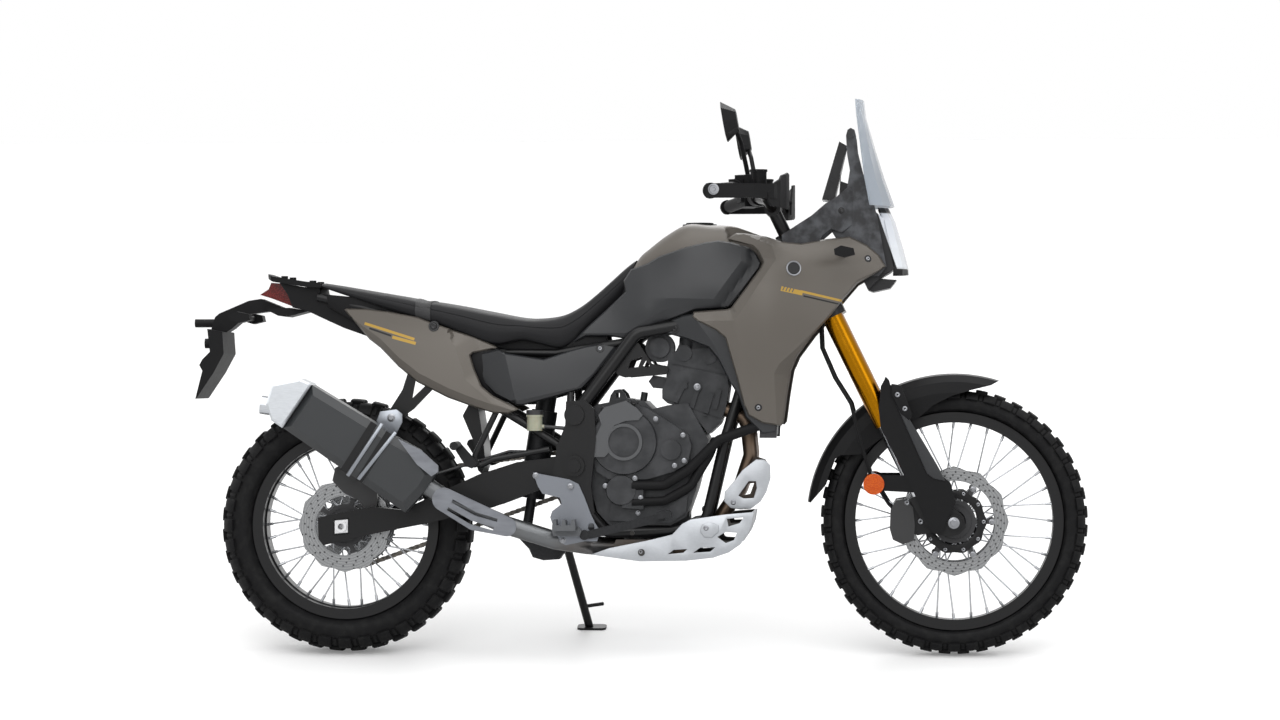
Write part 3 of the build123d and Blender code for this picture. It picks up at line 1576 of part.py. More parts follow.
with BuildPart() as covers:
    add(tank_covers)
    for side in (-1, 1):
        rod((880, side * 100, 1000), (880, side * 145, 1000), 12)
        rod((1050, side * 100, 1000), (1050, side * 156, 1000), 12)
        rod((700, side * 60, 870), (700, side * 110, 870), 9)
        rod((880, side * 116, 880), (880, side * 146, 900), 8)
    add(fuel_tank.part, mode=Mode.SUBTRACT)
    add(main_frame.part, mode=Mode.SUBTRACT)
    add(seat.part, mode=Mode.SUBTRACT)
    add(cylinder_head.part, mode=Mode.SUBTRACT)
keep("tank_covers", covers.part)

cowl_places = (915, 1030, 1120, 1200, 1260, 1330, 1428)
cowl_sections = (
    (590, stations(cowl_places, (150, 153, 155, 152, 145, 120, 90))),
    (700, stations(cowl_places, (166, 170, 174, 166, 156, 126, 92))),
    (800, stations(cowl_places, (168, 186, 198, 182, 166, 132, 94))),
    (880, stations(cowl_places, (168, 192, 208, 194, 172, 138, 96))),
    (960, stations(cowl_places, (168, 188, 206, 194, 174, 140, 98))),
    (1020, stations(cowl_places, (166, 180, 198, 188, 170, 138, 98))),
    (1060, stations(cowl_places, (150, 166, 180, 172, 156, 126, 92))),
    (1098, stations(cowl_places, (126, 148, 156, 146, 130, 104, 76))),
)
cowl_edge = (
    (1110, 1087),
    (1150, 1073),
    (1200, 1068),
    (1260, 1080),
    (1325, 1088),
    (1370, 1065),
    (1400, 1040),
    (1420, 1005),
    (1400, 997),
    (1345, 965),
    (1310, 925),
    (1275, 880),
    (1230, 830),
    (1190, 775),
    (1175, 740),
    (1165, 680),
    (1155, 605),
    (1150, 595),
    (1100, 605),
    (1062, 625),
    (1050, 660),
    (1035, 720),
    (1015, 790),
    (1005, 825),
    (980, 845),
    (930, 870),
    (918, 880),
    (920, 893),
    (1010, 900),
    (1020, 902),
    (1052, 945),
    (1097, 1005),
    (1102, 1020),
    (1087, 1047),
    (1072, 1062),
    (1022, 1076),
    (1000, 1080),
    (1030, 1098),
    (1060, 1096),
)
front_cowl = panel(cowl_sections, cowl_edge)
with BuildPart() as cowl:
    add(front_cowl)
    for side in (-1, 1):
        rod((1118, side * 140, 700), (1118, side * 170, 700), 9)
        rod((1060, side * 130, 1050), (1070, side * 170, 1050), 9)
    add(radiator.part, mode=Mode.SUBTRACT)
    add(fuel_tank.part, mode=Mode.SUBTRACT)
    add(covers.part, mode=Mode.SUBTRACT)
keep("front_cowl", cowl.part)

shroud_places = (830, 900, 960, 1000, 1070, 1140)
shroud_sections = (
    (570, stations(shroud_places, (138, 142, 145, 147, 148, 145))),
    (640, stations(shroud_places, (142, 146, 150, 152, 150, 146))),
    (760, stations(shroud_places, (142, 150, 156, 158, 156, 150))),
    (850, stations(shroud_places, (140, 152, 160, 162, 160, 156))),
    (890, stations(shroud_places, (138, 150, 158, 160, 160, 156))),
)
shroud_edge = (
    (833, 852),
    (850, 868),
    (895, 884),
    (930, 890),
    (1005, 890),
    (1040, 800),
    (1060, 720),
    (1090, 640),
    (1140, 612),
    (1136, 580),
    (1100, 576),
    (1056, 620),
    (1050, 640),
    (1035, 680),
    (1010, 720),
    (985, 770),
    (960, 800),
    (900, 823),
    (845, 838),
)
lower_shroud = panel(shroud_sections, shroud_edge)
with BuildPart() as shroud:
    add(lower_shroud)
    for side in (-1, 1):
        rod((872, side * 128, 852), (872, side * 152, 847), 11)
        rod((1100, side * 128, 600), (1100, side * 146, 600), 9)
    add(main_frame.part, mode=Mode.SUBTRACT)
    add(covers.part, mode=Mode.SUBTRACT)
    add(cowl.part, mode=Mode.SUBTRACT)
    add(radiator.part, mode=Mode.SUBTRACT)
    add(coolant_hoses.part, mode=Mode.SUBTRACT)
keep("lower_shrouds", shroud.part)

tail_places = (-10, 100, 200, 300, 400, 475)
tail_sections = (
    (620, stations(tail_places, (120, 128, 134, 138, 140, 142))),
    (700, stations(tail_places, (116, 128, 136, 142, 144, 144))),
    (800, stations(tail_places, (106, 120, 132, 140, 142, 140))),
    (850, stations(tail_places, (98, 112, 124, 134, 138, 136))),
    (905, stations(tail_places, (92, 106, 118, 128, 132, 130))),
)
tail_edge = (
    (2, 900),
    (8, 903),
    (60, 902),
    (120, 895),
    (200, 880),
    (230, 868),
    (300, 844),
    (350, 828),
    (400, 806),
    (412, 799),
    (345, 786),
    (339, 780),
    (350, 745),
    (370, 700),
    (400, 675),
    (460, 645),
    (470, 640),
    (440, 628),
    (400, 630),
    (350, 645),
    (280, 670),
    (200, 710),
    (150, 750),
    (100, 800),
    (70, 822),
)
tail_skin = panel(tail_sections, tail_edge)
with BuildPart() as tail_panels:
    add(tail_skin)
    for side in (-1, 1):
        rod((243, side * 96, 852), (243, side * 128, 852), 11)
        rod((380, side * 104, 665), (380, side * 142, 665), 9)
    add(rear_subframe.part, mode=Mode.SUBTRACT)
    add(seat.part, mode=Mode.SUBTRACT)
    add(silencer_mounts.part, mode=Mode.SUBTRACT)
keep("tail_panels", tail_panels.part)

side_places = (335, 430, 530, 630, 735)
side_sections = (
    (640, stations(side_places, (144, 144, 140, 132, 120))),
    (720, stations(side_places, (144, 144, 138, 128, 114))),
    (780, stations(side_places, (141, 140, 132, 122, 108))),
    (820, stations(side_places, (138, 136, 126, 114, 100))),
)
side_edge = (
    (341, 781),
    (346, 784),
    (412, 797),
    (430, 788),
    (530, 772),
    (600, 795),
    (640, 806),
    (680, 813),
    (725, 808),
    (730, 800),
    (700, 770),
    (650, 710),
    (630, 690),
    (560, 670),
    (480, 648),
    (460, 648),
    (400, 678),
    (373, 704),
    (352, 748),
)
side_skin = panel(side_sections, side_edge)
with BuildPart() as side_covers:
    add(side_skin)
    for side in (-1, 1):
        rod((676, side * 92, 796), (676, side * 116, 798), 9)
        rod((480, side * 116, 610), (480, side * 142, 660), 8)
    add(rear_subframe.part, mode=Mode.SUBTRACT)
    add(main_frame.part, mode=Mode.SUBTRACT)
    add(seat.part, mode=Mode.SUBTRACT)
    add(covers.part, mode=Mode.SUBTRACT)
    add(tail_panels.part, mode=Mode.SUBTRACT)
keep("side_covers", side_covers.part)


# ================================================================ front end
tower_edge = (
    (1294, 1078),
    (1276, 1106),
    (1284, 1186),
    (1318, 1215),
    (1325, 1260),
    (1318, 1300),
    (1315, 1350),
    (1319, 1365),
    (1327, 1370),
    (1337, 1365),
    (1341, 1350),
    (1345, 1310),
    (1360, 1250),
    (1380, 1200),
    (1396, 1140),
    (1412, 1050),
    (1420, 1010),
    (1400, 985),
    (1345, 985),
    (1310, 1060),
)
tower_near = 92
tower_far = 98
# each plate's arm spreads round the steering, back to the top of the cowl
arm_places = (1140, 1200, 1250, 1290, 1335)
arm_widths = (152, 150, 138, 113, 98)
arm_sections = [(height, stations(arm_places, arm_widths)) for height in (1050, 1135, 1220)]
arm_edge = (
    (1150, 1068),
    (1150, 1091),
    (1227, 1141),
    (1262, 1172),
    (1330, 1216),
    (1332, 1120),
    (1304, 1098),
    (1276, 1108),
    (1254, 1090),
    (1240, 1062),
    (1196, 1058),
)
with BuildPart() as screen_stay:
    both_plates(tower_edge, tower_near, tower_far)
    add(panel(arm_sections, arm_edge))
    for x, z in ((1303, 1155), (1352, 1010), (1327, 1352)):
        rod((x, -tower_far - 3, z), (x, tower_far + 3, z), 9)
    # stays back to the frame's head, between the fork legs
    for side in (-1, 1):
        rod((1352, side * 36, 1010), (1240, side * 14, 988), 8)
    add(main_frame.part, mode=Mode.SUBTRACT)
    add(cowl.part, mode=Mode.SUBTRACT)
keep("screen_stay", screen_stay.part)

screen_sections = (
    (1168, ((1376, 132), (1408, 108), (1428, 60), (1437, 0), (1428, -60), (1408, -108), (1376, -132))),
    (1240, ((1362, 130), (1388, 104), (1404, 58), (1411, 0), (1404, -58), (1388, -104), (1362, -130))),
    (1320, ((1352, 124), (1370, 98), (1381, 54), (1386, 0), (1381, -54), (1370, -98), (1352, -124))),
    (1400, ((1342, 108), (1353, 86), (1360, 48), (1363, 0), (1360, -48), (1353, -86), (1342, -108))),
    (1446, ((1338, 84), (1347, 66), (1354, 38), (1357, 0), (1354, -38), (1347, -66), (1338, -84))),
)
with BuildPart() as windscreen:
    add(skin([(z, [(x, y) for x, y in points]) for z, points in screen_sections], -4))
    add(screen_stay.part, mode=Mode.SUBTRACT)
keep("windscreen", windscreen.part)

with BuildPart() as headlamp:
    side_plate(
        ((1350, 990), (1330, 1060), (1318, 1150), (1392, 1152), (1418, 1130), (1444, 1010), (1430, 996)), -84,
        84,
    )
    side_plate(((1318, 1215), (1318, 1150), (1390, 1150), (1370, 1205)), -70, 70)
    # chin under the lamp
    side_plate(((1372, 950), (1402, 980), (1430, 996), (1352, 990)), -78, 78)
    side_plate(((1402, 980), (1446, 976), (1430, 955), (1385, 945), (1372, 950)), -60, 60)
    add(screen_stay.part, mode=Mode.SUBTRACT)
    add(windscreen.part, mode=Mode.SUBTRACT)
keep("headlamp", headlamp.part)

lamp_sections = (
    (990, ((1436, 62), (1458, 50), (1470, 24), (1473, 0), (1470, -24), (1458, -50), (1436, -62))),
    (1010, ((1438, 84), (1458, 66), (1468, 32), (1472, 0), (1468, -32), (1458, -66), (1438, -84))),
    (1060, ((1428, 92), (1446, 72), (1456, 36), (1459, 0), (1456, -36), (1446, -72), (1428, -92))),
    (1130, ((1412, 84), (1428, 66), (1436, 32), (1438, 0), (1436, -32), (1428, -66), (1412, -84))),
    (1164, ((1396, 60), (1410, 46), (1418, 24), (1421, 0), (1418, -24), (1410, -46), (1396, -60))),
)
with BuildPart() as lamp_cover:
    add(skin(lamp_sections, -4))
    add(headlamp.part, mode=Mode.SUBTRACT)
    add(screen_stay.part, mode=Mode.SUBTRACT)
    add(windscreen.part, mode=Mode.SUBTRACT)
keep("lamp_cover", lamp_cover.part)

with BuildPart() as dash_display:
    side_plate(((1297, 1337), (1316, 1326), (1284, 1183), (1252, 1186)), -66, 66)
    side_plate(((1300, 1262), (1300, 1236), (1322, 1228), (1330, 1160), (1318, 1160), (1296, 1196)), -20, 20)
    add(screen_stay.part, mode=Mode.SUBTRACT)
    add(headlamp.part, mode=Mode.SUBTRACT)
keep("dash_display", dash_display.part)


# ================================================================ tail
rack_places = ((-160, 989), (-85, 977))  # along the machine, and the height of the thread's mouth
rack_side = 66
rack_boss = 26
rack_depth = 18
rack_hole = 3.4
with BuildPart() as tail_cowl:
    # carrier plate
    with BuildSketch(Plane.XY.offset(950)):
        outline(
            (-208, 40), (-196, 70), (-150, 92), (-60, 100), (-60, -100), (-150, -92), (-196, -70),
            (-208, -40),
        )
        with BuildLine() as gap:
            Polyline((-180, 30), (-110, 44), (-110, -44), (-180, -30), close=True)
        make_face(gap.edges(), mode=Mode.SUBTRACT)
    extrude(amount=60)
    side_plate(
        (
            (-210, 996), (-190, 988), (-100, 974), (-58, 970), (-58, 958), (-100, 960), (-190, 974),
            (-206, 982),
        ),
        -120, 120, Mode.INTERSECT,
    )
    # body under it
    side_plate(
        (
            (-172, 972), (-118, 961), (-66, 958), (-62, 940), (0, 935), (0, 905), (68, 828), (0, 852),
            (-40, 870), (-100, 898), (-137, 906), (-150, 940),
        ),
        -78, 78,
    )
    side_plate(((-220, 905), (-150, 906), (-100, 897), (-158, 882), (-180, 885)), -50, 50)
    for x, top in rack_places:
        for side in (-1, 1):
            rod((x, side * rack_side, top - rack_boss), (x, side * rack_side, top), 9)
            with Locations(Location((x, side * rack_side, top))):
                Cylinder(rack_hole, rack_depth * 2, mode=Mode.SUBTRACT)
    add(rear_subframe.part, mode=Mode.SUBTRACT)
    add(seat.part, mode=Mode.SUBTRACT)
    add(tail_panels.part, mode=Mode.SUBTRACT)

with BuildPart() as tail_lamp:
    side_plate(
        ((-198, 972), (-172, 970), (-150, 940), (-137, 908), (-195, 930), (-228, 940), (-205, 955)), -52, 52,
    )
    add(tail_cowl.part, mode=Mode.SUBTRACT)
keep("tail_lamp", tail_lamp.part)

with BuildPart() as plate_holder:
    side_plate(
        (
            (-165, 904), (-230, 930), (-262, 925), (-340, 892), (-352, 882), (-362, 850), (-322, 842),
            (-306, 852), (-262, 890), (-215, 896),
        ),
        -30, 30,
    )
    side_plate(
        (
            (-362, 850), (-322, 842), (-318, 785), (-345, 735), (-390, 668), (-408, 660), (-394, 665),
            (-375, 740), (-383, 755), (-375, 770), (-355, 790),
        ),
        -88, 88,
    )
    for side in (-1, 1):
        rod((-372, side * 60, 812), (-360, side * 60, 812), 13)
    rod((-410, 0, 866), (-350, 0, 866), 11)
    add(tail_lamp.part, mode=Mode.SUBTRACT)
    add(tail_cowl.part, mode=Mode.SUBTRACT)
with BuildPart() as cowl_and_holder:
    add([tail_cowl.part, plate_holder.part])
keep("tail_cowl", cowl_and_holder.part)

with BuildPart() as indicators:
    for x, y, z, reach in ((-270, 30, 880, 70), (1312, 150, 1045, 62)):
        for side in (-1, 1):
            rod((x, side * (y - 4), z), (x, side * (y + reach - 20), z), 7)
            side_plate(
                (
                    (x - 26, z + 6), (x - 8, z + 15), (x + 24, z + 8), (x + 28, z - 8), (x, z - 15),
                    (x - 24, z - 8),
                ),
                side * (y + reach - 20), side * (y + reach + 24),
            )
    add(plate_holder.part, mode=Mode.SUBTRACT)
    add(cowl.part, mode=Mode.SUBTRACT)
keep("indicators", indicators.part)

with BuildPart() as rear_mudguard:
    side_plate(
        ((312, 622), (330, 656), (352, 650), (366, 560), (372, 500), (362, 470), (352, 480), (342, 552)), -75,
        75,
    )
    with Locations(Location(rear_axle, (90, 0, 0))):
        Cylinder(rear_tyre_radius + 12, 400, mode=Mode.SUBTRACT)
    add(swingarm.part, mode=Mode.SUBTRACT)
    add(rear_subframe.part, mode=Mode.SUBTRACT)
with BuildPart() as arm_and_mudguard:
    add([swingarm.part, rear_mudguard.part])
keep("swingarm", arm_and_mudguard.part)


# ================================================================ footrests, stand and small things
bracket_edge = (
    (505, 476),
    (600, 458),
    (624, 446),
    (640, 410),
    (655, 370),
    (666, 346),
    (680, 325),
    (672, 298),
    (640, 298),
    (590, 288),
    (570, 300),
    (560, 330),
    (550, 360),
    (555, 376),
    (580, 395),
    (575, 411),
    (530, 421),
    (518, 440),
)
rest_near = plate_outer + 2
with BuildPart() as footrests:
    both_plates(bracket_edge, rest_near, rest_near + 8)
    for side in (-1, 1):
        rod((603, side * plate_outer, 440), (603, side * (rest_near + 14), 440), 8)
        rod((657, side * (plate_outer - 10), 350), (657, side * (rest_near + 14), 333), 8)
        # peg
        side_plate(
            ((566, 342), (620, 342), (634, 326), (628, 312), (560, 312), (556, 328)), side * (rest_near + 8),
            side * (rest_near + 34),
        )
        for x in (568, 592, 616):
            side_plate(
                ((x - 6, 340), (x + 6, 340), (x + 4, 356), (x - 4, 356)), side * (rest_near + 34),
                side * (rest_near + 84),
            )
        side_plate(
            ((562, 342), (622, 342), (622, 328), (562, 328)), side * (rest_near + 34),
            side * (rest_near + 84),
        )
    add(main_frame.part, mode=Mode.SUBTRACT)
    add(exhaust_pipes.part, mode=Mode.SUBTRACT)
keep("footrests", footrests.part)

with BuildPart() as foot_controls:
    # brake pedal on the right
    rod((640, -rest_near - 8, 315), (640, -rest_near - 22, 315), 13)
    side_plate(
        ((650, 326), (840, 372), (852, 366), (848, 352), (660, 306), (640, 304)), -rest_near - 12,
        -rest_near - 20,
    )
    side_plate(((828, 374), (856, 380), (868, 374), (866, 362), (830, 356)), -rest_near - 12, -rest_near - 44)
    # gear lever on the left
    rod((640, rest_near + 8, 315), (640, rest_near + 22, 315), 13)
    side_plate(((646, 326), (790, 366), (800, 358), (796, 348), (656, 304)), rest_near + 12, rest_near + 20)
    rod((794, rest_near + 20, 357), (794, rest_near + 54, 357), 9)
    add(footrests.part, mode=Mode.SUBTRACT)
keep("foot_controls", foot_controls.part)

with BuildPart() as pillion_footrests:
    for side in (-1, 1):
        bent_tube(
            [
                (410, side * 128, 640), (352, side * 136, 520), (350, side * 136, 486),
                (400, side * 136, 510), (545, side * 130, 536),
            ],
            8, 14,
        )
        rod((410, side * 117.5, 644), (410, side * 132, 640), 10)
        rod((352, side * 130, 500), (352, side * 150, 500), 12)
        side_plate(((296, 545), (312, 556), (362, 500), (346, 486), (330, 492)), side * 146, side * 160)
        rod((308, side * 152, 546), (308, side * 236, 546), 11)
    add(rear_subframe.part, mode=Mode.SUBTRACT)
    add(main_frame.part, mode=Mode.SUBTRACT)
    add(tail_panels.part, mode=Mode.SUBTRACT)
    add(silencer.part, mode=Mode.SUBTRACT)
keep("pillion_footrests", pillion_footrests.part)

with BuildPart() as fluid_reservoir:
    with Locations(Location((507, -130, 602), (0, 0, 0))):
        Cylinder(20, 36)
        with Locations((0, 0, 27)):
            Cylinder(22, 18)
    rod((520, -130, 596), (590, -136, 590), 5)
    add(rear_caliper.part, mode=Mode.SUBTRACT)
    add(rear_subframe.part, mode=Mode.SUBTRACT)
    add(main_frame.part, mode=Mode.SUBTRACT)
    add(side_covers.part, mode=Mode.SUBTRACT)
with BuildPart() as rear_brake:
    add([rear_caliper.part, fluid_reservoir.part])
keep("rear_brake", rear_brake.part)

with BuildPart() as side_stand:
    with BuildSketch(stand_eye.offset(-eye_half)):
        Circle(17)
        with Locations((24, 0)):
            Rectangle(48, 22)
    extrude(amount=2 * eye_half)
    rod(stand_pivot + stand_down * 26, stand_foot, 11)
    with BuildSketch(floor_plane):
        with Locations((6, 0)):
            RectangleRounded(78, 48, 14)
    extrude(amount=6)
    with BuildSketch(floor_plane):
        Rectangle(300, 300)
    extrude(amount=-60, mode=Mode.SUBTRACT)
    with BuildSketch(stand_eye.offset(-eye_half - 1)):
        Circle(stand_bolt + running_gap)
    extrude(amount=2 * eye_half + 2, mode=Mode.SUBTRACT)
    # peg that the rider's heel pushes
    rod(stand_foot - stand_down * 70, stand_foot - stand_down * 70 + Vector(50, 30, 6), 5)
keep("side_stand", side_stand.part)
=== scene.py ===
"""Looks of an adventure motorcycle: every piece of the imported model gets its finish, and what is too fine,
too soft or too many for the solids is made here around them."""

import functools
import json
import math

import bpy
import mathutils
import numpy as np
from mathutils import Matrix, Vector

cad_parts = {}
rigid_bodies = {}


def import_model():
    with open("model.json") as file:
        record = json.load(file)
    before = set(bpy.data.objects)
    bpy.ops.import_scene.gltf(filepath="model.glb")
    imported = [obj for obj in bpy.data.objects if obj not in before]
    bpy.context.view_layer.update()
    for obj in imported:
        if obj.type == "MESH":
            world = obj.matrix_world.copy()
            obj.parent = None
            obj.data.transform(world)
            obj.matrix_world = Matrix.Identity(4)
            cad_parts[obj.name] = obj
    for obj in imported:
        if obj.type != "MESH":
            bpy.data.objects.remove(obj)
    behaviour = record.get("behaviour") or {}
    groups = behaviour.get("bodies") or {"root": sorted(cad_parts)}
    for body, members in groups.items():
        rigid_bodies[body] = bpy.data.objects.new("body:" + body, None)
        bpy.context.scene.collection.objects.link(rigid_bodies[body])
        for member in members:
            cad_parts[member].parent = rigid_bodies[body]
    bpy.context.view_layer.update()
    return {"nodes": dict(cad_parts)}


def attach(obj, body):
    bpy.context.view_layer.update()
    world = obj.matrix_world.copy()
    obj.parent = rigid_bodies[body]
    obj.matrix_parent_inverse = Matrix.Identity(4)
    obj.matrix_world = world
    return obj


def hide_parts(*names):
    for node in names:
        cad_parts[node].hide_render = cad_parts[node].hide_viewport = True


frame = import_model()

# ---------------------------------------------------------------- how the machine stands
# The motorcycle leans ten degrees onto its side stand. Every size below is given in millimetres on the
# upright machine, x forward from the rear axle, y to its left and z up from the ground, and is leaned over
# with it here.
LEAN = math.radians(10)
LEAN_SINE, LEAN_COSINE = math.sin(LEAN), math.cos(LEAN)
ORIGIN = np.array([-766.4, -230.7, 1.63])


def lean_way(ways):
    """Ways of the upright machine, turned about x by the lean: y' = y cos + z sin, z' = z cos - y sin."""
    ways = np.asarray(ways, float)
    x, y, z = ways[..., 0], ways[..., 1], ways[..., 2]
    return np.stack([x, y * LEAN_COSINE + z * LEAN_SINE, z * LEAN_COSINE - y * LEAN_SINE], -1)


def parked(points):
    """Places of the upright machine in millimetres, leaned over, moved to the origin and turned to metres."""
    return (lean_way(points) + ORIGIN) / 1000


def upright(places):
    """The reverse of parked: places in metres, back on the upright machine in millimetres."""
    x, y, z = np.moveaxis(np.asarray(places, float) * 1000 - ORIGIN, -1, 0)
    return np.stack([x, y * LEAN_COSINE - z * LEAN_SINE, y * LEAN_SINE + z * LEAN_COSINE], -1)


# ---------------------------------------------------------------- camera
# A long lens looks square at the right-hand side, from wheel height and a little ahead of the middle.
CAMERA_PLACE = (1452.1, -9600, 723)
CAMERA_YAW, CAMERA_PITCH = math.radians(4.05), math.radians(0.27)
camera_data = bpy.data.cameras.new("camera")
camera_data.sensor_width = 36
camera_data.lens = 102.9
camera_data.clip_end = 100
camera = bpy.data.objects.new("camera", camera_data)
ahead = lean_way([-math.sin(CAMERA_YAW), math.cos(CAMERA_YAW), math.tan(CAMERA_PITCH)])
ahead /= np.linalg.norm(ahead)
across = np.cross(ahead, lean_way([0, 0, 1]))
across /= np.linalg.norm(across)
placing = np.eye(4)
placing[:3, 0], placing[:3, 1], placing[:3, 2] = across, np.cross(across, ahead), -ahead
placing[:3, 3] = parked(CAMERA_PLACE)
camera.matrix_world = Matrix(placing.tolist())
bpy.context.scene.collection.objects.link(camera)
bpy.context.scene.camera = camera
bpy.context.scene.view_settings.view_transform = "Standard"


# ---------------------------------------------------------------- painted panels
# Tank, cowl, shrouds and tail are moulded plastic and pressed steel in one satin grey-olive paint with a fine
# grain. Thin gold and black stripes are laid on the cowl and the tail.
def operator(operation, reflected=False):
    """A method that adds one Math node for self and other, or for other and self where it is reflected."""

    def method(self, other):
        return self.sum(operation, *((other, self) if reflected else (self, other)))

    return method


class Wire:
    """A shader value that can be used in sums. Each operator adds one Math node to the tree that it is in."""

    __add__, __radd__ = operator("ADD"), operator("ADD", reflected=True)
    __sub__, __rsub__ = operator("SUBTRACT"), operator("SUBTRACT", reflected=True)
    __mul__, __rmul__ = operator("MULTIPLY"), operator("MULTIPLY", reflected=True)
    __truediv__, __rtruediv__ = operator("DIVIDE"), operator("DIVIDE", reflected=True)
    __pow__, most = operator("POWER"), operator("MAXIMUM")

    def __init__(self, tree, socket):
        self.tree, self.socket = tree, socket

    def sum(self, operation, *values):
        return self.tree.node("ShaderNodeMath", {"operation": operation}, *values)

    def __abs__(self):
        return self.sum("ABSOLUTE", self)

    def wave(self):
        return self.sum("SINE", self)

    def fade(self, low, high):
        """0 up to low and 1 from high on, smooth between; low may be the larger, which turns it round."""
        if low > high:
            return 1 - self.fade(high, low)
        return self.tree.node(
            "ShaderNodeMapRange", {"interpolation_type": "SMOOTHSTEP"}, self, low, high, 0.0, 1.0
        )


class Tree:
    """The nodes of one material or of the surround."""

    def __init__(self, nodes):
        self.nodes = nodes

    def join(self, socket, value):
        """Puts a wire, a colour or a number on a socket."""
        if isinstance(value, Wire):
            self.nodes.links.new(value.socket, socket)
        elif socket.type == "RGBA":
            socket.default_value = (*value, 1)
        else:
            socket.default_value = value

    def node(self, kind, settings, *values, out=0, **named):
        """A node of that type: first its settings, then the values of its sockets, in turn or by name."""
        made = self.nodes.nodes.new(kind)
        for key, value in settings.items():
            setattr(made, key, value)
        sockets = [socket for socket in made.inputs if socket.enabled]
        for socket, value in zip(sockets, values):
            self.join(socket, value)
        for name, value in named.items():
            self.join(made.inputs[name.replace("_", " ")], value)
        outs = [socket for socket in made.outputs if socket.enabled]
        return Wire(self, made.outputs[out] if isinstance(out, str) else outs[out])


class Finish(Tree):
    """One finish: a Principled shader and the nodes that vary it over the surface, in Object coordinates."""

    def __init__(self, name, colour, metallic=0.0, **fixed):
        self.material = bpy.data.materials.new(name)
        self.material.use_nodes = True
        super().__init__(self.material.node_tree)
        self.shader = self.nodes.nodes["Principled BSDF"]
        self.set(Base_Color=colour, Metallic=metallic, **fixed)
        self.material.diffuse_color = (*colour, 1)

    def set(self, **values):
        """Puts numbers, colours or wires on the shader's own sockets; an underscore stands for a space."""
        for name, value in values.items():
            self.join(self.shader.inputs[name.replace("_", " ")], value)
        return self

    def mottle(self, cloud, rough, spread, first=None, second=None, fades=None):
        """Roughness rough + spread * cloud; where colours are given, cloud or its fade blends them too."""
        if first:
            self.set(Base_Color=self.blend(cloud.fade(*fades) if fades else cloud, first, second))
        return self.set(Roughness=rough + cloud * spread)

    def place(self):
        """Object coordinates in metres."""
        return self.node("ShaderNodeTexCoord", {}, out="Object")

    def machine(self):
        """Object coordinates turned back to the upright machine: x forward, y left, z up, in millimetres."""
        parts = self.node("ShaderNodeSeparateXYZ", {}, self.place())
        x, y, z = (Wire(self, socket) for socket in parts.socket.node.outputs)
        y, z = y * 1000 - ORIGIN[1], z * 1000 - ORIGIN[2]
        return x * 1000 - ORIGIN[0], y * LEAN_COSINE - z * LEAN_SINE, y * LEAN_SINE + z * LEAN_COSINE

    def noise(self, size, detail, stretch=None):
        """Cloudy noise from 0 to 1: lumps about size millimetres across, or longer where stretched."""
        place = self.place()
        if stretch:
            place = self.node("ShaderNodeMapping", {}, place, Scale=stretch)
        return self.node("ShaderNodeTexNoise", {}, Vector=place, Scale=1000 / size, Detail=detail)

    def grain(self, size):
        """Pebbled grain: the distance to the nearest of scattered points, size millimetres apart."""
        return self.node("ShaderNodeTexVoronoi", {}, Vector=self.place(), Scale=1000 / size)

    def blend(self, share, first, second):
        """The colour first where share is 0 and second where it is 1."""
        return self.node("ShaderNodeMix", {"data_type": "RGBA"}, share, first, second)

    def relief(self, height, depth):
        """Bumps of that height field, depth millimetres from its 0 to its 1."""
        bump = self.node("ShaderNodeBump", {}, Strength=1.0, Distance=depth / 1000, Height=height)
        return self.set(Normal=bump)

    def on(self, *names):
        """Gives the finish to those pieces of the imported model."""
        for name in names:
            mesh = frame["nodes"][name].data
            mesh.materials.clear()
            mesh.materials.append(self.material)


def stripes(x, z, rows):
    """1 on straight stripes (start, end, thickness), seen from the side, and 0 elsewhere."""
    blur, bands = 0.4, []
    for (x0, z0), (x1, z1), thick in rows:
        length = math.hypot(x1 - x0, z1 - z0)
        way_x, way_z = (x1 - x0) / length, (z1 - z0) / length
        along = (x - x0) * way_x + (z - z0) * way_z
        off = abs((z - z0) * way_x - (x - x0) * way_z)
        ends = along.fade(-blur, blur) * along.fade(length + blur, length - blur)
        bands.append(ends * off.fade(thick / 2 + blur, thick / 2 - blur))
    return functools.reduce(Wire.most, bands)


OLIVE, OLIVE_LIGHT = (0.098, 0.088, 0.076), (0.116, 0.104, 0.091)
STRIPE_GOLD, STRIPE_BLACK = (0.40, 0.25, 0.045), (0.010, 0.010, 0.010)
gold_stripes = (
    ((58, 864), (192, 822), 7), ((133, 828), (196, 811), 8),
    ((1150, 951), (1205, 939), 12), ((1200, 944), (1305, 920), 6),
)
black_stripes = ((71, 851), (130, 831), 5), ((1207, 932), (1300, 911), 4)
# Slanted notches part the gold: four from each (x, z), so far apart, on a line that falls at that slope.
notches = [
    ((left + run, top - run * fall), (left + run - 6, top - run * fall - 12), 3)
    for left, top, gap, fall in ((150, 818, 9, 0.27), (1160, 958, 8, 0.2))
    for run in (0, gap, 2 * gap, 3 * gap)
]
olive = Finish("olive_paint", OLIVE, 0.15, Specular_IOR_Level=0.35)
flake = olive.noise(0.7, 2)
x, y, z = olive.machine()
paint = olive.blend(flake * 0.7 + olive.noise(160, 2) * 0.3, OLIVE, OLIVE_LIGHT)
paint = olive.blend(stripes(x, z, gold_stripes) * (1 - stripes(x, z, notches)), paint, STRIPE_GOLD)
paint = olive.blend(stripes(x, z, black_stripes), paint, STRIPE_BLACK)
olive.set(Base_Color=paint).mottle(flake, 0.36, 0.12).relief(olive.noise(1.4, 2), 0.03)
olive.on("fuel_tank", "front_cowl", "lower_shrouds", "tail_panels")

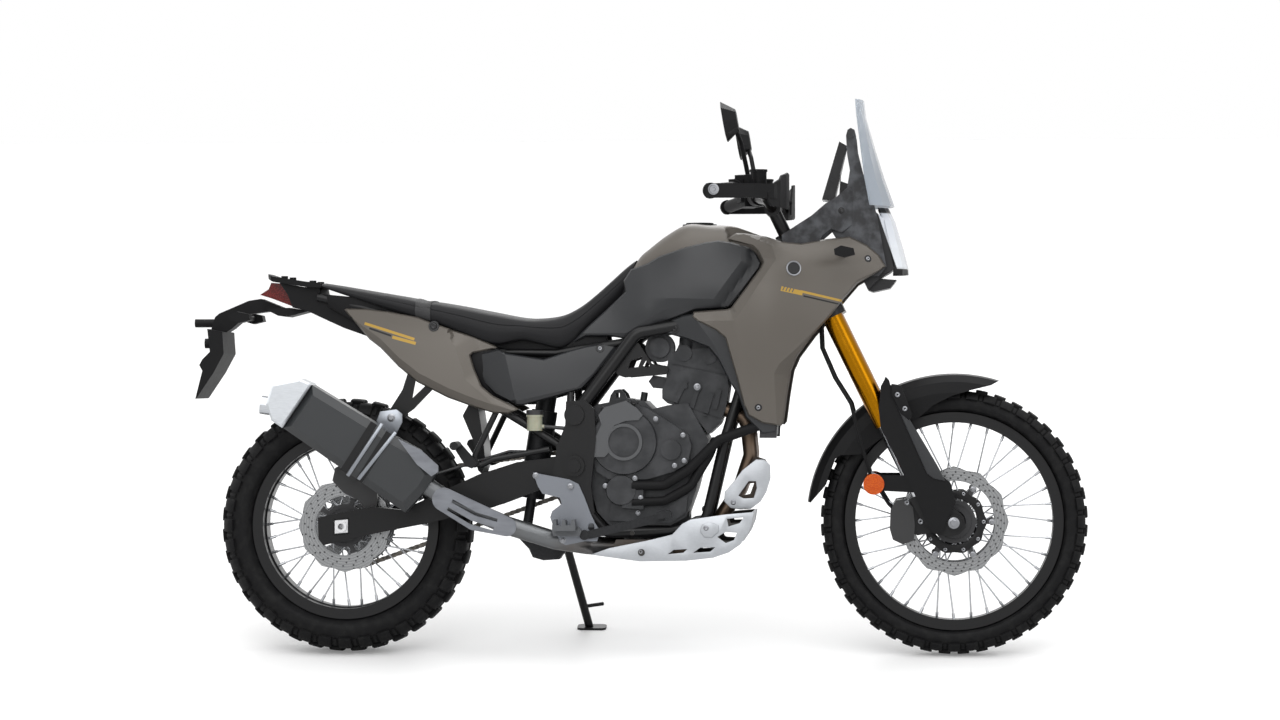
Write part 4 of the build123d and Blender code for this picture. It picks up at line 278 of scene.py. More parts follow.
# ---------------------------------------------------------------- black plastics
# Unpainted panels are black polypropylene: the covers beside the tank and seat are smooth and satin, the
# mudguards, fork guards and tail are finely pebbled, and the tower that carries the screen has a cloudy,
# cloth-like pattern.
satin_black = Finish("satin_black_panel", (0.022, 0.023, 0.025), Specular_IOR_Level=0.35)
satin_black.mottle(satin_black.noise(40, 4), 0.33, 0.1).relief(satin_black.noise(0.9, 2), 0.035)
satin_black.on("tank_covers", "side_covers")

pebbled = Finish("pebbled_black", (0.006, 0.006, 0.0065), Specular_IOR_Level=0.13)
pebble = pebbled.grain(1.1)
pebbled.mottle(pebble, 0.42 + pebbled.noise(60, 5) * 0.08, 0.12).relief(pebble, 0.07)
pebbled.on(
    "front_fender", "fork_guards", "tail_cowl", "hand_guards", "mirrors", "hand_controls", "indicators",
)

marbled = Finish("marbled_black", (0.03, 0.031, 0.033), Specular_IOR_Level=0.25)
marbled.mottle(marbled.noise(34, 7), 0.34, 0.2, (0.022, 0.022, 0.024), (0.075, 0.078, 0.085), (0.36, 0.68))
marbled.on("screen_stay")

# ---------------------------------------------------------------- engine, frame and swingarm
# Engine castings are painted satin charcoal with a sandy skin, paler on the faces that stand out furthest;
# the frame and the swingarm are smooth black powder coat over steel tube and cast aluminium.
charcoal = Finish("charcoal_casting", (0.036, 0.037, 0.040), 0.15, Specular_IOR_Level=0.3)
sand = charcoal.noise(1.0, 4)
casting = charcoal.blend(charcoal.noise(45, 3).fade(0.35, 0.7), (0.022, 0.023, 0.025), (0.042, 0.043, 0.046))
outermost = charcoal.machine()[1].fade(-139, -141)
charcoal.set(Base_Color=charcoal.blend(outermost, casting, (0.078, 0.080, 0.084)))
charcoal.mottle(sand, 0.36, 0.16).relief(sand, 0.12)
charcoal.on("crankcase", "cylinder_head", "engine_covers")

powder = Finish("powder_coat", (0.008, 0.008, 0.0085), Specular_IOR_Level=0.22)
orange_peel = powder.noise(1.8, 2)
powder.mottle(orange_peel, 0.28, 0.1).relief(orange_peel, 0.05)
powder.on(
    "main_frame", "rear_subframe", "swingarm", "side_stand", "fork_yokes", "fork_feet", "pillion_footrests",
    "fuel_cap",
)

# The footrest hangers are bare forged aluminium; the pegs on them are dark zinc-plated steel.
hanger = Finish("footrest_hanger", (0.25, 0.26, 0.28), 0.75)
forge = hanger.noise(0.8, 3)
plate = abs(hanger.machine()[1]).fade(158.5, 157.5)
hanger.set(Base_Color=hanger.blend(plate, (0.10, 0.104, 0.11), (0.17, 0.18, 0.20)))
hanger.mottle(forge, 0.33, 0.15).relief(forge, 0.08)
hanger.on("footrests")

# ---------------------------------------------------------------- tyres
# Two dual-sport tyres of black rubber: a smooth carcass, and rows of moulded blocks on the crown and the
# shoulders. Each block is a patch of the carcass raised along its normal, with a small chamfer round its top.
FRONT_AXLE, REAR_AXLE = (1595, 348), (0, 333.5)
rubber = Finish("tyre_rubber", (0.008, 0.008, 0.0085), Specular_IOR_Level=0.12)
rubber.mottle(rubber.noise(22, 5), 0.52, 0.2, (0.006, 0.006, 0.0065), (0.014, 0.014, 0.014), (0.4, 0.8))
rubber.relief(rubber.noise(1.2, 3), 0.1)


def smooth_line(points, steps):
    """A Catmull-Rom curve through the points, with that many steps from each point to the next."""
    points = np.asarray(points, float)
    padded = np.concatenate([2 * points[:1] - points[1:2], points, 2 * points[-1:] - points[-2:-1]])
    a, b, c, d = (padded[k : len(padded) - 3 + k, None] for k in range(4))
    t = (np.arange(steps) / steps)[None, :, None]
    curve = b + (c - a) / 2 * t + (a - 2.5 * b + 2 * c - d / 2) * t**2 + (1.5 * (b - c) + (d - a) / 2) * t**3
    return np.concatenate([curve.reshape(-1, points.shape[1]), points[-1:]])


def grid_faces(rows, columns, loop=False):
    """Quads of a grid of points kept row by row; loop joins its last column to its first."""
    row = np.arange(rows - 1)[:, None] * columns
    column = np.arange(columns if loop else columns - 1)[None]
    after = (column + 1) % columns
    return np.stack(
        [row + column, row + after, row + columns + after, row + columns + column], -1,
    ).reshape(-1, 4)


def repeat_faces(faces, count, size):
    """The faces of count copies of a mesh of size points, one after the other."""
    return (faces[None] + (np.arange(count) * size)[:, None, None]).reshape(-1, faces.shape[1])


def new_piece(name, points, faces, finish, body, sharp=40):
    """A piece from places on the upright machine; it is smooth but for edges sharper than so many degrees."""
    mesh = bpy.data.meshes.new(name)
    groups = faces if isinstance(faces, (list, tuple)) else [faces]
    lists = [face for group in groups for face in group.tolist()]
    mesh.from_pydata(parked(points).tolist(), [], lists)
    mesh.materials.append(finish.material)
    mesh.polygons.foreach_set("use_smooth", np.ones(len(mesh.polygons), bool))
    mesh.set_sharp_from_angle(angle=math.radians(sharp))
    piece = bpy.data.objects.new(name, mesh)
    bpy.context.scene.collection.objects.link(piece)
    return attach(piece, body)


def round_axle(axle, across, radius, turn):
    """Places round an axle: x = axle + radius cos turn, y = across, z = axle + radius sin turn."""
    across, radius, turn = np.broadcast_arrays(across, radius, turn)
    return np.stack([axle[0] + radius * np.cos(turn), across, axle[1] + radius * np.sin(turn)], -1)


def make_tyre(name, axle, half_line, pitches, rows, body):
    """A carcass turned round the axle, and per pitch the rows of blocks.

    A row is (start, end, shift, share, height): from and to so many millimetres from the crown along the
    carcass, shifted and long as shares of the pitch, and that high. Rows beside the crown are on both sides.
    """
    half = smooth_line(half_line, 8)
    line = np.concatenate([half[::-1] * [-1, 1], half[1:]])
    turns = np.linspace(0, 2 * math.pi, 200, endpoint=False)
    points = [round_axle(axle, line[:, :1], line[:, 1:], turns[None]).reshape(-1, 3)]
    faces = [grid_faces(len(line), len(turns), loop=True)[:, ::-1]]
    inner = np.stack([np.arange(len(turns)), np.roll(np.arange(len(turns)), -1)], -1)
    last = inner + (len(line) - 1) * len(turns)
    faces.append(np.concatenate([inner, last[:, ::-1]], 1))
    reach = np.concatenate([[0], np.cumsum(np.linalg.norm(np.diff(half, axis=0), axis=1))])
    slope = np.gradient(half, axis=0)
    slope /= np.linalg.norm(slope, axis=1, keepdims=True)
    size = len(points[0])
    # Shares of a block's size and its height there: its walls are sunk in the carcass, its top is chamfered.
    steps = np.array([0, 0, 0.05, 0.35, 0.65, 0.95, 1, 1])
    rise = np.array([-1.5, 0.88, 1, 1, 1, 1, 0.88, -1.5])
    lift = np.minimum(rise[:, None], rise[None])
    patch = grid_faces(len(steps), len(steps))
    for start, end, shift, share, height in rows:
        along = start + (end - start) * steps[:, None] * np.ones(len(steps))
        turn = (steps[None] - 0.5) * share * np.ones((len(steps), 1)) * 2 * math.pi / pitches
        out = lift * height
        base_across, base_radius = (np.interp(np.abs(along), reach, half[:, k]) for k in range(2))
        way_across, way_radius = (np.interp(np.abs(along), reach, slope[:, k]) for k in range(2))
        for side in (1, -1) if start > 0 else (1,):
            flip = np.sign(along + 1e-9) * side
            sideways = (base_across - way_radius * out) * flip
            radius = base_radius + way_across * out
            turned = turn[None] + (np.arange(pitches)[:, None, None] + shift) * 2 * math.pi / pitches
            knob = round_axle(axle, sideways[None], radius[None], turned)
            points.append(knob.reshape(-1, 3))
            faces.append(repeat_faces(patch[:, ::-side], pitches, len(steps) ** 2) + size)
            size += len(points[-1])
    return new_piece(name, np.concatenate(points), faces, rubber, body, sharp=50)


# Half of each carcass, from the middle of its crown over the shoulder to the bead: (across, radius).
front_half = (
    (0, 339), (10, 338.6), (20, 336.5), (29, 332.5), (36.5, 326.5), (41.5, 318.5), (44.5, 309), (44.5, 300),
    (41, 292), (33, 288.5), (28, 287.5), (24.5, 285), (24, 276), (24, 268),
)
rear_half = (
    (0, 324), (16, 323.4), (32, 321), (46, 316), (58, 308), (66.5, 298), (71.5, 286), (73, 273), (70, 262),
    (62, 253.5), (56, 250), (52.5, 247), (52, 238), (52, 230),
)
for end, axle, half_line, pitches, rows in (
    (
        "front", FRONT_AXLE, front_half, 44,
        ((28, 50, 0.0, 0.66, 8.5), (5, 22.5, 0.5, 0.62, 9), (31, 48, 0.5, 0.2, 3.5)),
    ),
    (
        "rear", REAR_AXLE, rear_half, 36,
        ((45, 79, 0.0, 0.6, 9), (5, 38, 0.5, 0.6, 9.5), (50, 74, 0.5, 0.16, 4)),
    ),
):
    tyre = make_tyre(f"{end}_tread", axle, half_line, pitches, rows, f"{end}_wheel")
    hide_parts(f"{end}_tyre")

# ---------------------------------------------------------------- bodywork
# Each pair of moulded panels follows half widths given at heights and places along the machine, is trimmed to
# its outline as seen from the side, falls away past its creases, and has a rolled edge and a 3 mm wall.
PANEL_WALL, EDGE_ROLL, PANEL_GRID = 3, 4, 7
TABLE_SIZE = 160


def cubic_at(knots, values, at):
    """Values between knots, along the first axis: a Hermite cubic with the knots' own mean slopes."""
    knots, values = np.asarray(knots, float), np.asarray(values, float)
    slopes = np.gradient(values, knots, axis=0)
    at = np.clip(at, knots[0], knots[-1])
    cell = np.clip(np.searchsorted(knots, at, side="right") - 1, 0, len(knots) - 2)
    gap = knots[cell + 1] - knots[cell]
    t = ((at - knots[cell]) / gap).reshape(-1, *[1] * (values.ndim - 1))
    gap = gap.reshape(t.shape)
    a, b, c, d = values[cell], values[cell + 1], slopes[cell] * gap, slopes[cell + 1] * gap
    return a + t * (c + t * (3 * (b - a) - 2 * c - d + t * (2 * (a - b) + c + d)))


def widths_at(places, sections, x, z):
    """Half widths at points (x, z), from a table of them at each height and place."""
    heights = [height for height, _ in sections]
    fine_x = np.linspace(places[0], places[-1], TABLE_SIZE)
    fine_z = np.linspace(heights[0], heights[-1], TABLE_SIZE)
    rows = cubic_at(places, np.array([row for _, row in sections], float).T, fine_x)
    table = cubic_at(heights, rows.T, fine_z)
    column = np.clip((x - fine_x[0]) / (fine_x[1] - fine_x[0]), 0, TABLE_SIZE - 1.001)
    line = np.clip((z - fine_z[0]) / (fine_z[1] - fine_z[0]), 0, TABLE_SIZE - 1.001)
    i, j = line.astype(int), column.astype(int)
    s, t = line - i, column - j
    low = table[i, j] * (1 - t) + table[i, j + 1] * t
    return low * (1 - s) + (table[i + 1, j] * (1 - t) + table[i + 1, j + 1] * t) * s


def from_line(points, line, fades=(0, 0)):
    """Distance from each point to the nearest stretch of an open line, positive on its right.

    It is multiplied by min(1, run / fade), where run is how far along the line that is from either end.
    """
    line = np.asarray(line, float)
    start, way = line[:-1], np.diff(line, axis=0)
    length = np.linalg.norm(way, axis=1)
    reach = points[:, None] - start
    share = np.clip((reach * way).sum(-1) / length**2, 0, 1)
    off = reach - share[..., None] * way
    far = np.linalg.norm(off, axis=-1)
    side = way[:, 1] * reach[..., 0] - way[:, 0] * reach[..., 1]
    nearest = (far - 1e-3 * np.abs(side) / length).argmin(1)
    rows = np.arange(len(points))
    run = (np.cumsum(length) - length)[nearest] + share[rows, nearest] * length[nearest]
    runs = np.stack([run, length.sum() - run])
    kept = np.clip(runs / np.maximum(1e-6, np.array(fades)[:, None]), 0, 1).min(0) if any(fades) else 1
    return far[rows, nearest] * np.sign(side[rows, nearest]) * kept


def stepped(line, step):
    """The points of a line, with more between them so that none is much over a step from the next."""
    line = np.asarray(line, float)
    counts = np.maximum(1, np.round(np.linalg.norm(np.diff(line, axis=0), axis=1) / step).astype(int))
    runs = [a + (b - a) * np.arange(n)[:, None] / n for a, b, n in zip(line, line[1:], counts)]
    return np.concatenate([*runs, line[-1:]])


def trimmed_grid(edge, step, creases):
    """Points and triangles inside an outline, with a grid of points within and edges along the creases."""
    edge = np.asarray(edge, float)
    rim = stepped(np.concatenate([edge, edge[:1]]), step)[:-1]
    low, high = edge.min(0), edge.max(0)
    across, up = np.meshgrid(np.arange(low[0], high[0], step), np.arange(low[1], high[1], step))
    across[::2] += step / 2
    inside = np.stack([across, up], -1).reshape(-1, 2)
    along = np.roll(rim, -1, axis=0) - np.roll(rim, 1, axis=0)
    turning = np.sign((rim[:, 0] * np.roll(rim[:, 1], -1) - rim[:, 1] * np.roll(rim[:, 0], -1)).sum())
    inwards = turning * along[:, ::-1] * [-1, 1] / np.linalg.norm(along, axis=1, keepdims=True)
    inner = rim + EDGE_ROLL * inwards
    lines = [np.concatenate([inner, inner[:1]]), *(stepped(line, step) for line in creases)]
    for line in [np.concatenate([rim, rim[:1]]), *lines]:
        inside = inside[np.abs(from_line(inside, line)) > step * 0.5]
    starts = np.cumsum([len(rim), *map(len, lines)])
    pairs = [(n, n + 1) for start, line in zip(starts, lines) for n in range(start, start + len(line) - 1)]
    points = np.concatenate([rim, *lines, inside])
    made = mathutils.geometry.delaunay_2d_cdt(
        [Vector(p) for p in points.tolist()], pairs, [list(range(len(rim)))], 1, 1e-5
    )
    return np.array([list(p) for p in made[0]]), np.array(made[2]), np.concatenate([rim, rim[:1]])


def make_panels(name, places, sections, edge, finish, node, creases=()):
    """The pair of panels. A crease is (line, slope, reach) and perhaps how long it fades at its two ends.

    On its right, or left if the slope is negative, the panel falls away at that slope, as far as its reach.
    """
    flat, faces, rim = trimmed_grid(edge, PANEL_GRID, [line for line, *_ in creases])
    width = widths_at(places, sections, flat[:, 0], flat[:, 1])
    for line, slope, reach, *fades in creases:
        width -= abs(slope) * np.clip(math.copysign(1, slope) * from_line(flat, line, *fades), 0, reach)
    rolled = 1 - np.clip(np.abs(from_line(flat, rim)) / EDGE_ROLL, 0, 1)
    width -= EDGE_ROLL * (1 - np.sqrt(1 - rolled**2))
    right = np.stack([flat[:, 0], -width, flat[:, 1]], -1)
    points = np.concatenate([right, right * [1, -1, 1]])
    faces = np.concatenate([faces, faces[:, ::-1] + len(right)])
    piece = new_piece(name, points, faces, finish, "chassis", sharp=12)
    wall = piece.modifiers.new("wall", "SOLIDIFY")
    wall.thickness, wall.offset = PANEL_WALL / 1000, -1
    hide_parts(node)
    return piece


# Front cowl: a pale strip falls back along its rear edge, and it falls away below its nose and behind the
# radiator.
cowl_places = (915, 1030, 1120, 1200, 1260, 1330, 1428)
cowl_sections = (
    (590, (150, 153, 155, 152, 145, 120, 90)),
    (700, (166, 170, 174, 166, 156, 126, 92)),
    (800, (168, 186, 198, 182, 166, 132, 94)),
    (880, (168, 192, 208, 194, 172, 138, 96)),
    (960, (168, 188, 206, 194, 174, 140, 98)),
    (1020, (166, 180, 198, 188, 170, 138, 98)),
    (1060, (132, 148, 176, 170, 156, 126, 92)),
    (1098, (92, 106, 134, 134, 124, 102, 76)),
)
cowl_edge = (
    (1110, 1087), (1150, 1073), (1200, 1068), (1260, 1080), (1325, 1088), (1370, 1065), (1400, 1040),
    (1418, 1010), (1400, 997), (1345, 965), (1310, 925), (1275, 880), (1230, 830), (1190, 775), (1175, 740),
    (1165, 680), (1155, 605), (1148, 597), (1100, 605), (1064, 625), (1050, 660), (1035, 720), (1015, 790),
    (1005, 825), (980, 845), (930, 870), (918, 880), (922, 893), (1010, 899), (1020, 903), (1052, 945),
    (1097, 1005), (1103, 1020), (1089, 1047), (1074, 1062), (1022, 1076), (1002, 1082), (1030, 1098),
    (1060, 1096),
)
cowl_creases = (
    (
        (
            (920, 868), (1026, 869), (1036, 877), (1100, 973), (1137, 1026), (1124, 1063), (1087, 1078),
            (1044, 1098),
        ),
        -0.5, 45,
    ),
    (((1030, 868), (1044, 755), (1058, 620)), 0.12, 60),
    (
        (
            (1405, 1003), (1344, 975), (1258, 868), (1194, 802), (1146, 759), (1131, 733), (1136, 640),
            (1138, 600),
        ),
        -0.8, 45,
    ),
    (((1420, 1012), (1301, 1018), (1211, 1030), (1150, 1056)), 0.14, 60),
)
make_panels("cowl_panels", cowl_places, cowl_sections, cowl_edge, olive, "front_cowl", cowl_creases)

# Tank side covers: satin black, with a raised middle that ends in three sharp creases.
cover_places = (585, 700, 800, 900, 1000, 1110)
cover_sections = (
    (790, (108, 116, 124, 132, 140, 146)),
    (850, (104, 116, 132, 144, 152, 152)),
    (895, (98, 112, 138, 153, 158, 158)),
    (950, (92, 104, 134, 154, 162, 160)),
    (1010, (84, 94, 122, 148, 156, 152)),
    (1050, (76, 88, 112, 142, 150, 144)),
    (1080, (72, 84, 106, 134, 144, 138)),
)
cover_edge = (
    (742, 945), (737, 975), (756, 1004), (800, 1019), (830, 1037), (900, 1060), (950, 1072), (985, 1077),
    (1020, 1072), (1068, 1058), (1083, 1044), (1097, 1019), (1093, 1006), (1049, 947), (1015, 905),
    (1000, 901), (925, 897), (900, 887), (860, 872), (800, 847), (745, 822), (700, 830), (640, 830),
    (594, 806), (640, 852), (690, 897),
)
cover_creases = (
    (((1043, 1085), (1043, 1060), (1046, 1024), (974, 925), (866, 928), (800, 924)), -0.5, 26, (0, 120)),
    (((590, 836), (651, 838), (747, 838), (795, 869), (842, 897), (900, 905)), 0.5, 24, (0, 90)),
)
make_panels(
    "tank_side_covers", cover_places, cover_sections, cover_edge, satin_black, "tank_covers", cover_creases,
)

# Tail panels and the side covers under the seat, each falling away below a long crease.
tail_places = (-10, 100, 200, 300, 400, 475)
tail_sections = (
    (620, (134, 144, 152, 155, 155, 152)),
    (700, (124, 136, 146, 151, 151, 149)),
    (800, (108, 122, 134, 141, 143, 141)),
    (850, (100, 114, 126, 134, 138, 136)),
    (905, (96, 110, 122, 130, 133, 131)),
)
tail_edge = (
    (2, 900), (8, 903), (60, 902), (120, 895), (200, 880), (230, 868), (300, 844), (350, 828), (400, 806),
    (410, 799), (345, 786), (339, 780), (350, 745), (370, 700), (400, 675), (460, 645), (468, 640),
    (440, 628), (400, 630), (350, 645), (280, 670), (200, 710), (150, 750), (100, 800), (70, 822),
)
tail_creases = (
    (((475, 628), (397, 657), (329, 716), (299, 804)), 0.3, 60),
    (
        ((30, 874), (100, 824), (150, 776), (205, 734), (285, 694), (352, 668), (400, 652), (470, 632)), 0.5,
        40,
    ),
)
make_panels("tail_side_panels", tail_places, tail_sections, tail_edge, olive, "tail_panels", tail_creases)

side_places = (335, 430, 530, 630, 735)
side_sections = (
    (640, (144, 144, 140, 132, 120)),
    (720, (144, 144, 138, 128, 114)),
    (780, (141, 140, 132, 122, 108)),
    (820, (138, 136, 126, 114, 100)),
)
side_edge = (
    (343, 779), (348, 782), (412, 795), (430, 786), (530, 770), (600, 793), (640, 804), (680, 811),
    (723, 806), (728, 799), (700, 770), (650, 712), (630, 692), (560, 672), (480, 650), (462, 650),
    (402, 679), (375, 705), (354, 748),
)
side_creases = (
    (((463, 645), (431, 780), (426, 792)), -0.32, 70),
    (((463, 662), (619, 697), (660, 735), (714, 806)), 0.45, 14),
)
make_panels(
    "side_cover_panels", side_places, side_sections, side_edge, satin_black, "side_covers", side_creases,
)

# Lower shrouds: black, between the cowl and the engine.
shroud_places = (830, 900, 960, 1000, 1070, 1140)
shroud_sections = (
    (570, (138, 142, 145, 147, 148, 145)),
    (640, (142, 146, 150, 152, 150, 146)),
    (760, (142, 150, 156, 158, 156, 150)),
    (850, (140, 152, 160, 162, 160, 156)),
    (890, (138, 150, 158, 160, 160, 156)),
)
shroud_edge = (
    (833, 852), (850, 868), (895, 884), (930, 890), (1005, 890), (1040, 800), (1060, 720), (1090, 640),
    (1140, 612), (1136, 580), (1100, 576), (1056, 620), (1050, 640), (1035, 680), (1010, 720), (985, 770),
    (960, 800), (900, 823), (845, 838),
)
make_panels(
    "lower_shroud_panels", shroud_places, shroud_sections, shroud_edge, satin_black, "lower_shrouds",
    ((((925, 876), (968, 818), (1002, 758), (1044, 634)), 0.3, 60),),
)

# The fuel tank is one pressed shell: level rows of rounded sections, waisted for the knees and narrow at its
# nose, where it stays behind the turning yokes: AXIS_TOP from the line they turn about, and within their
# angle.
AXIS_FOOT, AXIS_TOP = (1161.2, 1077.7), 48
RAKE, STEERING_ANGLE = math.radians(26), math.radians(38)
tank_places = (738, 755, 775, 800, 850, 900, 960, 1025, 1060, 1085, 1100)
tank_tops = (974, 1006, 1038, 1060, 1098, 1124, 1122, 1117, 1105, 1096, 1091)
tank_halves = (60, 71, 84, 96, 112, 122, 128, 127, 122, 115, 109)
WAIST_HEIGHT, LEAST_RISE, LOWER_RISE, ROUNDNESS = 985, 28, 75, 2.9
NOSE_LENGTH, NOSE_FLARE = 128, 6


def closed_rows(rows):
    """Points and faces of a tube made of rows of points, closed flat at both ends."""
    count = rows.shape[1]
    ends = np.arange(count)
    caps = [ends[None, ::-1], (ends + (len(rows) - 1) * count)[None]]
    return rows.reshape(-1, 3), [grid_faces(len(rows), count, loop=True), *caps]


def tank_rows():
    """Sections y = w cos^(2/n), z = c + h sin^(2/n) along the tank."""
    x = np.linspace(tank_places[0], tank_places[-1], 70)
    top, half = cubic_at(tank_places, tank_tops, x), cubic_at(tank_places, tank_halves, x)
    middle = np.minimum(WAIST_HEIGHT, top - LEAST_RISE)
    angle = np.linspace(-0.35, 1, 41)[None] * math.pi / 2
    angle = np.concatenate([angle, math.pi - angle[:, -2::-1]], 1)
    sine, cosine = np.sin(angle), np.cos(angle)
    rise = np.where(sine > 0, (top - middle)[:, None], LOWER_RISE)
    z = middle[:, None] + rise * np.sign(sine) * np.abs(sine) ** (2 / ROUNDNESS)
    y = half[:, None] * np.sign(cosine) * np.abs(cosine) ** (2 / ROUNDNESS)
    behind = (AXIS_FOOT[0] - x[:, None]) * math.cos(RAKE) - (z - AXIS_FOOT[1]) * math.sin(RAKE)
    room = (behind - AXIS_TOP) * math.tan(STEERING_ANGLE)
    room += np.maximum(0, behind - NOSE_LENGTH) * NOSE_FLARE
    y = np.sign(y) * np.minimum(np.abs(y), np.maximum(room, 1))
    return np.stack([x[:, None] + 0 * z, y, z], -1)


tank = new_piece("tank_shell", *closed_rows(tank_rows()), olive, "chassis", sharp=45)
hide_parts("fuel_tank")

# ---------------------------------------------------------------- seat
# One long foam seat under black grained vinyl: firm and stretched tight, crowned across, with a sewn seam
# along each side, a soft dip for the rider and a webbing strap round it for the passenger. Each section is
# (top x, top z, bottom x, bottom z, half width).
seat_sections = (
    (-58, 970, -60, 962, 88), (0, 961, 0, 942, 99), (100, 944, 100, 910, 113), (190, 929, 190, 882, 122),
    (300, 911, 300, 846, 129), (400, 892, 400, 812, 131), (470, 879, 470, 822, 129),
    (520, 877, 520, 812, 121), (575, 885, 572, 801, 111), (620, 907, 610, 823, 101), (660, 938, 653, 863, 91),
    (700, 974, 694, 900, 80), (735, 1006, 727, 934, 70), (755, 1022, 742, 962, 63),
    (765, 1029, 757, 1002, 57),
)
# Half of one section, from the middle of its base round to the middle of its crown: shares of the half width
# and of the height. The close points make the seam.
seat_profile = (
    (0, 0.0), (0.55, 0.0), (0.88, 0.02), (0.965, 0.12), (1.0, 0.34), (0.995, 0.52), (0.978, 0.625),
    (0.974, 0.645), (0.958, 0.655), (0.968, 0.668), (0.962, 0.69), (0.925, 0.80), (0.85, 0.90), (0.70, 0.965),
    (0.45, 0.995), (0, 1.0),
)
seat_vinyl = Finish("seat_vinyl", (0.010, 0.010, 0.011), Specular_IOR_Level=0.16)
leather = seat_vinyl.grain(1.4)
seat_vinyl.mottle(leather, 0.4 + seat_vinyl.noise(90, 3) * 0.12, 0.12).relief(leather, 0.12)
PROFILE_STEPS, CROWN, SETTLED = 6, 4, 3
STRAP_PLACE, STRAP_DIP, BASE_HEIGHT = 213, 4.5, 905


def seat_surface(along, proud=0.0):
    """Rows of points round the seat at section numbers along, standing proud of it by so many millimetres."""
    knots = np.arange(len(seat_sections))
    top_x, top_z, base_x, base_z, half = cubic_at(knots, seat_sections, along).T[:, :, None]
    ring = smooth_line(seat_profile, PROFILE_STEPS)
    ring = np.concatenate([ring, ring[-2:0:-1] * [-1, 1]])
    ring = ring + proud / 100 * np.stack([np.sign(ring[:, 0]), np.where(ring[:, 1] > 0.5, 1.0, 0.0)], -1)
    share, rise = ring[None, :, 0], ring[None, :, 1]
    crown = CROWN * (1 - share**2) * (rise > 0.6)
    x = base_x + (top_x - base_x) * rise
    z = base_z + (top_z - base_z) * rise + crown - SETTLED
    return np.stack([x, half * share, z], -1)


def strap_bell(rows, width):
    """1 at the strap and falling to 0 beside it: exp(-((x - place) / width)^2)."""
    return np.exp(-(((rows[..., 0] - STRAP_PLACE) / width) ** 2))


def strap_dip(rows):
    """How deep the strap presses into the top of the seat."""
    return STRAP_DIP * strap_bell(rows, 20) * (rows[..., 2] > BASE_HEIGHT)


rows = seat_surface(np.linspace(0, len(seat_sections) - 1, 120))
rows[..., 2] -= strap_dip(rows) + 0.5 * np.sin(rows[..., 0] * 0.33) * strap_bell(rows, 45)
seat = new_piece("seat_cushion", *closed_rows(rows), seat_vinyl, "chassis", sharp=70)
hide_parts("seat")

webbing = Finish("webbing", (0.018, 0.018, 0.019))
x, y, z = webbing.machine()
weave = (x * 3.6).wave() * (y * 3.6).wave() * 0.5 + 0.5
webbing.mottle(weave, 0.55, 0.2).relief(weave, 0.35)
band_rows = seat_surface(np.linspace(3.03, 3.4, 8), proud=2.5)
band_rows[..., 2] += 1.5 - strap_dip(band_rows)
strap = new_piece("seat_strap", *closed_rows(band_rows), webbing, "chassis", sharp=50)

# ---------------------------------------------------------------- drive chain
# A sealed roller chain: pairs of waisted steel plates, wide and narrow in turn, on bushes that wrap both
# sprockets.
REAR_SPROCKET, FRONT_SPROCKET = (0, 333.5, 116.3), (690, 500, 40.7)
CHAIN_SIDE, LINKS = 88, 120
LINK_SPREAD, LINK_RADIUS, LINK_WAIST, LINK_WALL = 7.9, 6.6, 4.4, 1.6
BUSH_RADIUS, BUSH_HALF = 4.6, 9.6
chain_steel = Finish("chain_steel", (0.2, 0.19, 0.17), 0.9)
chain_steel.mottle(chain_steel.noise(8, 5), 0.28, 0.25, (0.09, 0.085, 0.08), (0.24, 0.22, 0.19), (0.35, 0.7))


def chain_loop(count):
    """Evenly spaced points of the belt line round both sprockets: two straight runs and two arcs."""
    (x0, z0, big), (x1, z1, small) = REAR_SPROCKET, FRONT_SPROCKET
    apart, rise = math.hypot(x1 - x0, z1 - z0), math.atan2(z1 - z0, x1 - x0)
    lean = math.acos((big - small) / apart)
    turns = np.linspace(lean, 2 * math.pi - lean, 400) + rise
    back = np.stack([x0 + big * np.cos(turns), z0 + big * np.sin(turns)], -1)
    turns = np.linspace(-lean, lean, 200) + rise
    front = np.stack([x1 + small * np.cos(turns), z1 + small * np.sin(turns)], -1)
    line = np.concatenate([back, front, back[:1]])
    reach = np.concatenate([[0], np.cumsum(np.linalg.norm(np.diff(line, axis=0), axis=1))])
    at = np.linspace(0, reach[-1], count, endpoint=False)
    return np.stack([np.interp(at, reach, line[:, k]) for k in range(2)], -1)


def bars(outlines, low, high):
    """Points and faces of closed bars with outlines (x, z), each from y = high down to y = low."""
    number, count = outlines.shape[:2]
    ends = [
        np.stack([outlines[..., 0], np.broadcast_to(y, (number, count)), outlines[..., 1]], -1)
        for y in (high, low)
    ]
    rims = np.arange(count)[None]
    faces = grid_faces(2, count, loop=True), np.concatenate([rims[:, ::-1], rims + count])
    return np.stack(ends, 1).reshape(-1, 3), [repeat_faces(part, number, 2 * count) for part in faces]


